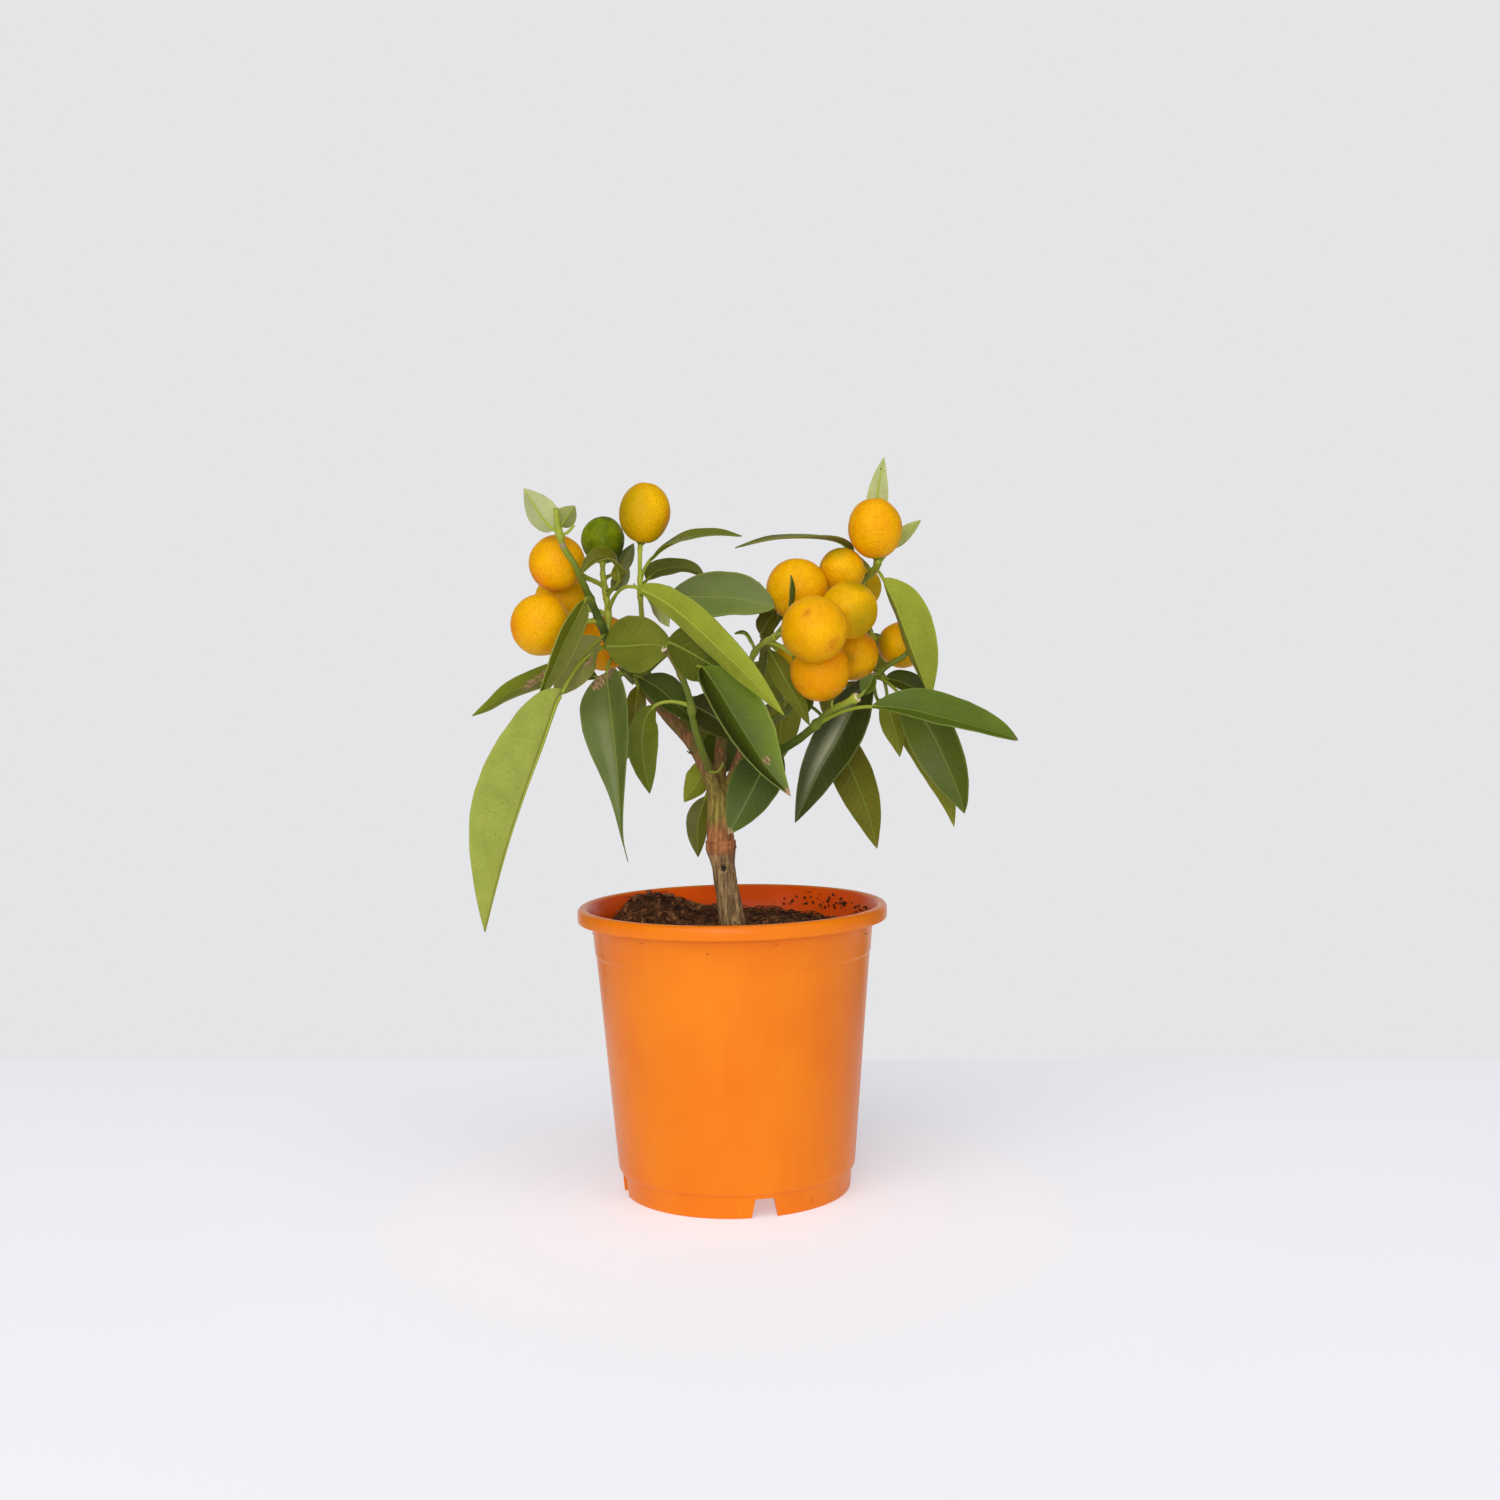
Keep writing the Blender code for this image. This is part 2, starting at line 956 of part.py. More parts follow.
def even(points, count):
    """As many points as asked, spaced evenly along the line."""
    reach = [0.0]
    for a, b in zip(points, points[1:]):
        reach.append(reach[-1] + (b - a).length)
    out = []
    for index in range(count):
        goal = reach[-1] * index / (count - 1)
        place = max(i for i, r in enumerate(reach[:-1]) if r <= goal + 1e-9)
        share = (goal - reach[place]) / max(reach[place + 1] - reach[place], 1e-9)
        out.append(points[place].lerp(points[place + 1], min(share, 1.0)))
    return out


def tube(name, points, radii, home, sides):
    """A round rod along these points, as a plain mesh."""
    curve = bpy.data.curves.new(name, "CURVE")
    curve.dimensions = "3D"
    curve.bevel_depth = MM
    curve.bevel_resolution = sides
    curve.use_fill_caps = True
    line = curve.splines.new("POLY")
    line.points.add(len(points) - 1)
    for place, point, radius in zip(line.points, points, radii):
        place.co = (*(point * MM), 1.0)
        place.radius = radius
    return baked(add_object(name, curve, home), home)


def twig_points(twig):
    return [spot(*point) for point in twig[0]]


def root_point(shoot, root):
    """The place on a shoot's twig that a stalk grows from, with the twig's direction."""
    points = twig_points(shoot["twigs"][root[0]])
    first = min(int(root[1]), len(points) - 2)
    along = points[first + 1] - points[first]
    return points[first] + along * (root[1] - first), along.normalized()


def blade_half(share, tip):
    """The half width of a blade along its length, as a share of the greatest."""
    peak = 0.72 / (0.72 + tip)
    greatest = peak**0.72 * (1 - peak) ** tip
    return share**0.72 * (1 - share) ** tip / greatest


def blade(name, shape, home):
    """A thin pointed blade folded along its midrib, with a faint wave in its edges."""
    route = smooth([spot(*point) for point in shape["path"]], 6)
    reach = sum((b - a).length for a, b in zip(route, route[1:]))
    stations = min(MOST_STATIONS, 5 + int(reach / 25))
    spine = even(route, stations)
    face = Vector(shape["face"]).normalized()
    fold = math.radians(shape["fold"])
    phase = len(name) * 1.7
    work = bmesh.new()
    rows = []
    for index, point in enumerate(spine):
        share = index / (stations - 1)
        middle = work.verts.new(point * MM)
        if index in (0, stations - 1):
            rows.append([middle])
            continue
        along = (spine[index + 1] - spine[index - 1]).normalized()
        side = along.cross(face).normalized()
        upper = side.cross(along).normalized()
        half = shape["width"] / 2 * blade_half(share, shape["tip"])
        row = [middle]
        for sign in (-1, 1):
            wave = 0.05 * half * math.sin(9 * share + phase + sign)
            edge = point + side * (sign * half * math.cos(fold))
            row.append(work.verts.new((edge + upper * (half * math.sin(fold) + wave)) * MM))
        rows.append(row)
    for near, far in zip(rows, rows[1:]):
        for edge, turn in ((1, 1), (2, -1)):
            if len(near) == 1:
                work.faces.new([near[0], far[0], far[edge]][::turn])
            elif len(far) == 1:
                work.faces.new([near[0], far[0], near[edge]][::turn])
            else:
                work.faces.new([near[0], far[0], far[edge]][::turn])
                work.faces.new([near[0], far[edge], near[edge]][::turn])
    mesh = bpy.data.meshes.new(name)
    work.to_mesh(mesh)
    work.free()
    obj = add_object(name, mesh, home)
    shell = obj.modifiers.new("thickness", "SOLIDIFY")
    shell.thickness = BLADE * MM
    shell.offset = 0.0
    return baked(obj, home), spine


def fruit_axis(shoot, shape):
    start, along = root_point(shoot, shape["root"])
    centre = spot(*shape["centre"])
    if shape["axis"] is None:
        return (centre - start).normalized(), centre
    return Vector(shape["axis"]).normalized(), centre


def make_fruit(name, shoot, shape):
    axis, centre = fruit_axis(shoot, shape)
    bpy.ops.mesh.primitive_uv_sphere_add(segments=12, ring_count=8, radius=MM)
    obj = bpy.context.object
    turn = axis.to_track_quat("Z", "Y").to_matrix().to_4x4()
    size = Matrix.Diagonal((shape["radius"], shape["radius"], shape["half"], 1.0))
    obj.data.transform(turn @ size)
    obj.location = centre * MM
    obj.name = name
    obj.data.name = name
    home = collection(name)
    for old in list(obj.users_collection):
        old.objects.unlink(obj)
    home.objects.link(obj)
    obj.data.materials.append(MATERIALS["green" if name == "fruit_02" else "fruit"])


def make_shoot(name, shoot):
    """The twigs, leaf stalks, blades and fruit stalks of one leafy shoot, as one body."""
    home = collection(name)
    extras = collection(name + "_pieces", True)
    for index, (points, thick, thin) in enumerate(shoot["twigs"]):
        line = smooth([spot(*point) for point in points], 2)
        radii = [thick + (thin - thick) * i / (len(line) - 1) for i in range(len(line))]
        body = tube(f"{name}_twig{index}", line, radii, home if index == 0 else extras, 1)
        if index == 0:
            main = body
    for label, shape in shoot["leaves"].items():
        plate, spine = blade(f"{name}_{label}", shape, extras)
        start, along = root_point(shoot, shape["root"])
        heading = (spine[1] - spine[0]).normalized()
        leaving = ((spine[0] - start).normalized() + along * 0.6).normalized()
        line = bow(start, leaving, spine[0] + heading * 2, heading)
        radii = [STALK_RADIUS * share for share in (1.2, 1.05, 1, 0.9)]
        tube(f"{name}_{label}_stalk", line, radii, extras, 0)
    for label, shape in shoot["fruit"].items():
        axis, centre = fruit_axis(shoot, shape)
        start, along = root_point(shoot, shape["root"])
        end = centre - axis * (shape["half"] + GAP)
        leaving = ((end - start).normalized() + along * 0.4).normalized()
        line = bow(start, leaving, end, axis)
        tube(f"{label}_stalk", line, [1.1, 1.0, 1.0, 1.5], extras, 1)
    join = main.modifiers.new("join", "BOOLEAN")
    join.operation = "UNION"
    join.operand_type = "COLLECTION"
    join.collection = extras
    join.solver = "MANIFOLD"
    whole = baked(main, home)
    for piece in list(extras.objects):
        bpy.data.objects.remove(piece, do_unlink=True)
    bpy.data.collections.remove(extras)
    whole.name = name
    whole.data.name = name
    whole.data.materials.clear()
    whole.data.materials.append(MATERIALS["shoot"])


def make_trunk():
    home = collection("trunk")
    extras = collection("trunk_pieces", True)
    for index, branch in enumerate(TRUNK):
        points = [spot(*point[:3]) for point in branch]
        radii = [point[3] for point in branch]
        where = home if index == 0 else extras
        body = tube(f"trunk_{index}", points, radii, where, 4 if index == 0 else 1)
        if index == 0:
            main = body
    join = main.modifiers.new("join", "BOOLEAN")
    join.operation = "UNION"
    join.operand_type = "COLLECTION"
    join.collection = extras
    join.solver = "EXACT"
    whole = baked(main, home)
    for piece in list(extras.objects):
        bpy.data.objects.remove(piece, do_unlink=True)
    bpy.data.collections.remove(extras)
    whole.name = "trunk"
    whole.data.name = "trunk"
    whole.data.materials.append(MATERIALS["trunk"])


def turned(name, profile, home, segments):
    """A profile of (radius, height) points turned about Z."""
    mesh = bpy.data.meshes.new(name)
    points = [(radius * MM, 0.0, height * MM) for radius, height in profile]
    mesh.from_pydata(points, [(i, i + 1) for i in range(len(points) - 1)], [])
    obj = add_object(name, mesh, home)
    screw = obj.modifiers.new("turn", "SCREW")
    screw.steps = segments
    screw.render_steps = segments
    screw.use_merge_vertices = True
    screw.merge_threshold = 0.00001
    screw.use_smooth_shade = False
    return obj


def wall_radius(height):
    """The outside of the pot's wall at this height."""
    top = NECK_RADIUS if height > COLLAR_BOTTOM else NECK_RADIUS - COLLAR_STEP
    share = (height - FOOT_TOP) / (POT_HEIGHT - LIP_DROP - FOOT_TOP)
    return WALL_FOOT_RADIUS + (top - WALL_FOOT_RADIUS) * share


def pot_profile():
    top = POT_HEIGHT
    skirt = top - LIP_DROP
    foot_inner = FOOT_RADIUS - FOOT_THICK
    return [
        (0.0, PLATE_TOP),
        (wall_radius(PLATE_TOP) - WALL - 1.2, PLATE_TOP),
        (wall_radius(12.0) - WALL, 11.4),
        (wall_radius(COLLAR_BOTTOM) - WALL, COLLAR_BOTTOM),
        (NECK_RADIUS - WALL, skirt - 1.0),
        (RIM_RADIUS - 4.4, top - 1.6),
        (RIM_RADIUS - 3.4, top - 0.3),
        (RIM_RADIUS - 2.2, top),
        (RIM_RADIUS - 0.8, top - 0.5),
        (RIM_RADIUS, top - 1.9),
        (RIM_RADIUS, skirt + 0.5),
        (RIM_RADIUS - 0.5, skirt),
        (RIM_RADIUS - LIP_THICK, skirt),
        (RIM_RADIUS - LIP_THICK, top - 2.9),
        (RIM_RADIUS - 3.6, top - 2.4),
        (NECK_RADIUS, skirt - 0.2),
        (wall_radius(COLLAR_BOTTOM + 0.01), COLLAR_BOTTOM + 0.8),
        (wall_radius(COLLAR_BOTTOM), COLLAR_BOTTOM),
        (wall_radius(FOOT_TOP + 1.8), FOOT_TOP + 1.8),
        (FOOT_RADIUS + 1.2, FOOT_TOP + 0.3),
        (FOOT_RADIUS + 0.7, FOOT_TOP - 0.2),
        (FOOT_RADIUS, 0.0),
        (foot_inner, 0.0),
        (foot_inner - 0.4, PLATE_BOTTOM),
        (0.0, PLATE_BOTTOM),
    ]


def make_pot():
    home = collection("pot")
    cutters = collection("pot_cutters", True)
    shell = turned("pot", pot_profile(), home, POT_SEGMENTS)
    for index in range(4):
        turn = math.radians(90 * index - 90) + NOTCH_TURN
        bpy.ops.mesh.primitive_cube_add(size=1.0)
        notch = bpy.context.object
        for vert in notch.data.vertices:
            low = vert.co.z < 0
            wide = NOTCH_BOTTOM if low else NOTCH_TOP
            vert.co.x = (FOOT_RADIUS + (6.0 if vert.co.x > 0 else -5.0)) * MM
            vert.co.y = math.copysign(wide / 2, vert.co.y) * MM
            vert.co.z = (-1.0 if low else NOTCH_HEIGHT) * MM
        notch.name = f"notch_{index}"
        notch.data.transform(Matrix.Rotation(turn, 4, "Z"))
        keep_cutter(notch, cutters)
    for index in range(9):
        turn = math.tau * index / 8
        reach = 0.0 if index == 8 else DRAIN_RING
        bpy.ops.mesh.primitive_cylinder_add(
            vertices=12,
            radius=DRAIN_RADIUS * MM,
            depth=6 * MM,
            location=(reach * math.cos(turn) * MM, reach * math.sin(turn) * MM, 9 * MM),
        )
        drain = bpy.context.object
        drain.name = f"drain_{index}"
        keep_cutter(drain, cutters)
    cut = shell.modifiers.new("openings", "BOOLEAN")
    cut.operation = "DIFFERENCE"
    cut.operand_type = "COLLECTION"
    cut.collection = cutters
    cut.solver = "EXACT"
    shell.data.materials.append(MATERIALS["pot"])


def keep_cutter(obj, cutters):
    for old in list(obj.users_collection):
        old.objects.unlink(obj)
    cutters.objects.link(obj)
    obj.hide_render = True
    obj.display_type = "WIRE"


def soil_height(across, back):
    """The soil's surface: level at the trunk, heaped at the back left, lower at the right."""
    x, y, rise, spread = MOUND
    heap = rise * math.exp(-((across - x) ** 2 + (back - y) ** 2) / (2 * spread**2))
    edge, drop, ease = LEFT_DIP
    dip = -1.8 / (1 + math.exp((24 - across) / 5)) - drop / (1 + math.exp((across - edge) / ease))
    lumps = 0.5 * math.sin(across * 0.31 + 1.0) * math.cos(back * 0.27)
    return SOIL_LEVEL + heap + dip + lumps


def make_soil():
    home = collection("soil")
    cutters = collection("soil_cutters", True)
    edge = wall_radius(SOIL_LEVEL) - WALL - GAP
    low = wall_radius(12.0) - WALL - GAP - 0.6
    rings = [edge * share for share in (0.84, 0.68, 0.52, 0.36, 0.2)]
    profile = [(0.0, SOIL_LEVEL)]
    profile += [(ring, SOIL_LEVEL) for ring in reversed(rings)]
    profile += [(edge, SOIL_LEVEL), (low, SOIL_BED + 2.2), (low - 1.5, SOIL_BED), (0.0, SOIL_BED)]
    body = baked(turned("soil", profile, home, 32), home)
    for vert in body.data.vertices:
        if vert.co.z > (SOIL_LEVEL - 1) * MM:
            x, y = vert.co.x / MM, vert.co.y / MM
            height = soil_height(x, y)
            radius = math.hypot(x, y)
            if radius > edge - 1:
                grow = (wall_radius(height) - WALL - GAP - 0.25) / radius
                vert.co.x *= grow
                vert.co.y *= grow
            vert.co.z = height * MM
    bpy.ops.mesh.primitive_cylinder_add(
        vertices=24,
        radius=HOLE_RADIUS * MM,
        depth=40 * MM,
        location=(0.5 * MM, 0.0, (HOLE_BOTTOM + 20) * MM),
    )
    hole = bpy.context.object
    hole.name = "trunk_hole"
    keep_cutter(hole, cutters)
    cut = body.modifiers.new("hole", "BOOLEAN")
    cut.operation = "DIFFERENCE"
    cut.object = hole
    cut.solver = "EXACT"
    body.name = "soil"
    body.data.materials.append(MATERIALS["soil"])


clear_scene()
MATERIALS = {name: material(name) for name in COLOURS}
for shoot_name, shoot_plan in SHOOTS.items():
    make_shoot(shoot_name, shoot_plan)
    for fruit_name, fruit_plan in shoot_plan["fruit"].items():
        make_fruit(fruit_name, shoot_plan, fruit_plan)
make_trunk()
make_soil()
make_pot()
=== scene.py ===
# Looks of a small grafted kumquat tree in its nursery pot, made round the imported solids.
import json
import math

import bmesh
import bpy
from mathutils import Matrix, Vector, noise

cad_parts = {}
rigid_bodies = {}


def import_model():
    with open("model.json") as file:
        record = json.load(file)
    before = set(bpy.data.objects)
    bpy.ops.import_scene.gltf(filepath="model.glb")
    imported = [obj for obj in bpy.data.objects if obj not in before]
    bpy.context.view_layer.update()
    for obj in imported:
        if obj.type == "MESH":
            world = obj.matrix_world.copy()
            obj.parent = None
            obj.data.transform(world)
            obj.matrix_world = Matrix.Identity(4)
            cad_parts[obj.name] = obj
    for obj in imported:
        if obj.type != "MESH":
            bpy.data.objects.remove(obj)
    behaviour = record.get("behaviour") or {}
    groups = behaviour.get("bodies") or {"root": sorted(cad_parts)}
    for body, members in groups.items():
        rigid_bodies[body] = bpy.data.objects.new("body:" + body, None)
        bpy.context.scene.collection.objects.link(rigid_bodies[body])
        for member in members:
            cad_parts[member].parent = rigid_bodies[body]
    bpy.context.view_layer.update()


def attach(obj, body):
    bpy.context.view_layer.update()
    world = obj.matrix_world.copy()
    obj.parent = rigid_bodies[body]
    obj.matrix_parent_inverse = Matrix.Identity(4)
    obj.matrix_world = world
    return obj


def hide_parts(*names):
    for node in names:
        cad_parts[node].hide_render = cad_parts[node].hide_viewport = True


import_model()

mm = 0.001
eye = Vector((8.7, -759.0, 225.6))  # where the photo was taken from, in mm

bpy.context.scene.view_settings.view_transform = "Standard"
for leftover in ("Cube", "Light", "Camera"):
    if leftover in bpy.data.objects:
        bpy.data.objects.remove(bpy.data.objects[leftover])


def spot(across, depth, up):
    # the point at this depth that shows at (across, up) on the plane of the trunk
    return eye + (Vector((across, 0.0, up)) - eye) * ((depth - eye.y) / -eye.y)


def twig(points, thick, thin, *looks):
    # looks are (tone, warmth) pairs from its start to its end
    return dict(points=points, thick=thick, thin=thin, looks=looks)


def leaf(root, path, face, width, fold=14, tip=1.0, **looks):
    # face is where its upper side looks, fold the angle that its halves are raised by, tip how slender
    # its end is; looks are what differs from plainBlade
    return dict(root=root, path=path, face=face, width=width, fold=fold, tip=tip, looks=looks)


def fruit(root, centre, radius, half, ripe, spots=(), axis=None):
    # half is half its length from the stalk; ripe runs from 0, yellow, to 1, orange
    return dict(root=root, centre=centre, radius=radius, half=half, axis=axis, ripe=ripe, spots=spots)


# Trunk and bare branches: points as (across, depth, up, radius)
trunkLines = [
    [(0.5, 0, 84.4, 5.7), (0.5, 0, 108, 5.7), (-0.2, 0, 113, 5.5), (-2.1, 0, 125.8, 4.9),
     (-3.4, 0, 136, 4.9), (-4, 0, 141, 5.7), (-4.3, 0, 143.5, 6.6), (-4.4, 0, 146, 6.3),
     (-4.6, 0, 151, 5.4), (-5, 0, 158, 5), (-5.2, 0.5, 165, 4.6), (-5.6, 2, 170, 3.9)],
    [(-5.2, 1, 164, 3.4), (-10.5, 8, 179, 3.2), (-16.4, 12, 189.4, 3), (-24, 14, 198, 2.8),
     (-30.7, 12, 206.4, 2.6), (-37, 8, 213.5, 2.4)],
    [(-5, -0.5, 162, 3.2), (-7, -3.5, 170, 2.6), (-8.7, -7, 176.6, 2.1)],
    [(-4, 1, 162, 3.2), (0, 4, 170, 2.9), (3.5, 6, 178.5, 2.7), (6.6, 8, 186.8, 2.6), (8.1, 10, 197.3, 2.5),
     (10, 11, 204, 2.3)],
    [(-4.6, 2, 163, 3.2), (-4, 12, 180, 2.8), (-2, 24, 198, 2.4)],
    [(2.5, 5, 176, 2.3), (6, 3.5, 178, 2.2), (9.4, 2, 180, 2.1)],
    [(7.8, 9.5, 193, 2), (12, 8, 194.5, 1.8)],
    [(8, 10, 196, 2.2), (14, 20, 200, 1.9)],
    [(-24, 14, 198, 2.3), (-28, 22, 202, 1.9)],
    [(-30.7, 12, 206.4, 1.9), (-32, 14, 211, 1.6)],
    [(-4.5, 3, 157, 2), (-7, 10, 164, 1.5)],
]

# Each shoot has twigs, leaves and fruit; marks on its twigs as (twig, share along, reach in mm, kind); and
# the thorns and scales that only show close by, as (points, thick, thin, tone, warmth). A root is
# (twig, place along its points), and a fruit's spots are (direction, reach as an angle, kind).
shootPlans = {}
shootPlans["left_shoot"] = dict(
    twigs=[
        twig([(-37.3, 7.8, 213.8), (-38.5, 7, 215.2), (-40.9, 2, 218.3), (-45.8, -6, 225.5),
             (-49.8, -12, 231.9), (-56.2, -22, 247.4), (-62.9, -35.5, 263.3), (-67.3, -40, 270.5),
             (-69.4, -43, 278.5), (-70.3, -46, 287)], 2, 1.2, (0.1, 0.5), (0.1, 0.1), (0.12, 0), (0.4, 0),
             (0.75, 0)),
        twig([(-50, -12.5, 233), (-49.5, -10, 243), (-50.5, -6, 252), (-51.5, -2, 260)], 1.4, 1, (0.7, 0.3),
             (0.8, 0.15)),
        twig([(-68.7, -41.8, 275.5), (-65.5, -41, 277.1), (-62.9, -40, 279.9)], 0.7, 0.6, (0.7, 0.2)),
    ],
    marks=[(0, 0.84, 1.6, "scar"), (0, 0.2, 1.2, "scar")],
    spurs=[([(-13.4, 9, 184), (-16.3, 7.5, 183.8), (-17.8, 7, 184.8)], 0.65, 0.2, 0.2, 1)],
    leaves={
        "hanging": leaf((0, 3.6), [(-68.8, -43, 211.6), (-72.2, -48, 205.4), (-75, -52, 198),
            (-78.8, -56, 187.6), (-86.4, -61, 168.4), (-94.2, -63, 146.4), (-101.2, -63, 122.6),
            (-104.5, -62, 109.9)], (-0.86, 0.5, 0.1), 37, 42, tone=0.6, warmth=0.06, pale=0.1, seam=0.55,
            spots=[(0.17, -0.5, 1.4)]),
        "wing": leaf((0, 2), [(-54.4, -4, 216.1), (-63.9, 0, 218.2), (-76.6, 9, 215.6), (-91.4, 19, 210.5),
            (-100.7, 25, 204.8), (-107.5, 28, 201.1)], (0, -0.7, 0.7), 17, tone=0.66, warmth=0.4, run=0.3,
            lean=0.1, patches=[(0.5, -0.1, 6), (0.42, 0.3, 4)]),
        "narrow": leaf((0, 5.1), [(-59.1, -33, 248.7), (-62.1, -37, 242.5), (-68.7, -42, 230.1),
            (-74.4, -44, 217.7), (-79.7, -45, 207.3)], (0.5, -0.7, 0.3), 12, 40, tone=0.47, warmth=0.38,
            lean=0.12, margin=0.3),
        "grey": leaf((0, 4.1), [(-53, -21, 232.5), (-59.5, -27, 226.5), (-67, -32, 216),
            (-73.5, -35, 208.5)], (0.1, 0.9, 0.4), 15.5, tone=0.3, warmth=0.35, pale=0.15,
            patches=[(0.35, 0.3, 4)]),
        "top_left": leaf((0, 7.7), [(-71.5, -39, 278), (-75.8, -38, 283), (-79.6, -38, 289),
            (-83.3, -38, 295.6)], (0.3, 0.9, 0.3), 14, 20, tone=0.8, warmth=0.12, pale=0.6),
        "top_right": leaf((0, 7.8), [(-68.3, -39, 279.5), (-66, -38, 283), (-62.4, -38, 288)],
            (-0.3, 0.9, 0.4), 9, tone=0.5, warmth=0.15, pale=0.25),
        "curled": leaf((1, 1.7), [(-45, -14, 255), (-45, -20, 262), (-50.3, -26, 266.5),
            (-56.6, -31, 264.5), (-60.5, -34, 259.5)], (0.1, -0.6, 0.8), 10, 20, tone=0.38, warmth=0.45,
            margin=0.25),
        "tuft": leaf((1, 2), [(-47.5, -10, 252.5), (-43.5, -11, 258), (-41, -12, 264)], (0.4, -0.8, 0.3), 7,
            tone=0.3, warmth=0.3, pale=0.15),
        "peek": leaf((1, 2.6), [(-45, 4, 260), (-41.5, 8, 266), (-38.1, 9, 272)], (0.3, -0.9, 0.3), 7,
            tone=0.35, warmth=0.25, pale=0.1),
        "diagonal": leaf((1, 1.1), [(-37.5, -33, 253.6), (-27, -42, 248.3), (-15.5, -51, 239.3),
            (-3, -60, 227.3), (9, -69, 215.2), (23.6, -77, 198.7)], (0.35, 0.8, 0.5), 17, 12, tone=0.64,
            warmth=0.12, run=0.1, margin=0.2),
        "broad": leaf((0, 4), [(-51, -18, 229.3), (-42.8, -21, 229.2), (-32.3, -23, 229.6),
            (-21.9, -24, 228.4)], (0.1, 0.95, 0.3), 25, 8, tone=0.27, warmth=0.12, lean=-0.08),
        "dark_front": leaf((0, 3), [(-50.6, -22, 218.5), (-49.6, -32, 206.8), (-48, -42, 190),
            (-46.8, -48, 173.1), (-46.3, -50, 158.3), (-45.6, -50, 147.8), (-43.5, -49, 138.4)],
            (-0.5, -0.85, 0.2), 26, 28, 2.2, tone=0.34, pale=0.06, shine=(0.18, 0.3), patches=[(0, -0.4, 8),
            (0.06, 0.5, 5), (1, 0, 3)]),
        "brownish": leaf((0, 1.4), [(-37.5, -4, 212.5), (-39.2, -8, 202.4), (-40.7, -9, 189.8)],
            (0.3, -0.9, 0.2), 9, tone=0.6, warmth=0.7),
        "under": leaf((0, 1.7), [(-36.8, -2, 216), (-28.5, -6, 210.6), (-20.3, -8, 202.9), (-13, -8, 196)],
            (0.3, -0.75, 0.6), 17, tone=0.2, warmth=0.1),
    },
    fruit={
        "fruit_02": fruit((1, 2.9), (-51, 3, 273.5), 9.1, 10, ripe=0),
        "fruit_03": fruit((1, 2.2), (-70.4, -22, 264.3), 11.5, 11.3, ripe=0.6,
            spots=[((-0.7, -0.3, -0.6), 0.7, "blush")]),
        "fruit_04": fruit((0, 4.5), (-77.7, -28, 238.6), 12.5, 12.2, ripe=0.52,
            spots=[((-1, -0.45, -0.15), 0.6, "blush")]),
        "fruit_05": fruit((1, 0.9), (-68.7, -3, 248.9), 11.3, 11.3, ripe=0.35),
        "fruit_06": fruit((0, 2.2), (-51.5, 13, 230.6), 11.8, 11.8, ripe=0.9),
    },
)
shootPlans["front_shoot"] = dict(
    twigs=[
        twig([(-8.8, -7.2, 177), (-9.3, -8.2, 178.8), (-12.2, -14, 187.2), (-15, -20, 197.7),
             (-16.1, -25, 206.1), (-19.6, -30, 216.7), (-24.8, -34, 226.4), (-26.5, -35, 228.1)], 1.7, 1.3,
             (0.25, 0.5), (0.3, 0.15), (0.28, 0.15), (0.25, 0.25), (0.4, 0.75)),
    ],
    marks=[(0, 1, 1.3, "cut")],
    spurs=[([(-8.4, -9, 176), (-6, -12, 175.6), (-3.9, -13, 177), (-2.5, -13, 179.8)], 0.7, 0.35, 0.5, 0.2)],
    leaves={
        "side": leaf((0, 3.7), [(-31, -25, 204.3), (-35.1, -23, 198.1), (-36.6, -21, 185.5),
            (-33.7, -18, 167)], (0.2, -0.95, 0.2), 13.5, 20, tone=0.6, warmth=0.3),
        "folded": leaf((0, 5), [(-10.5, -44, 219.8), (-4.5, -52, 210.5), (2.7, -60, 198.2), (9.3, -65, 187),
            (16.3, -70, 176), (25.4, -73, 165)], (0.3, -0.85, 0.45), 25, 34, tone=0.3, warmth=0.08,
            lean=-0.4, margin=0.3, patches=[(1, 0, 5), (0.75, -0.2, 3)]),
        "olive": leaf((0, 6.6), [(-25, -37, 231), (-17, -41, 227), (-8, -45, 221.5), (1, -48, 216.5)],
            (0.2, 0.9, 0.3), 23, 8, tone=0.08, warmth=0.05),
        "shade": leaf((0, 3.5), [(-17, -12, 205), (-8, -12, 200), (-1, -14, 195), (7, -16, 188.5)],
            (0.1, -0.8, 0.55), 20, tone=0.02, warmth=0.15),
    },
    fruit={},
)
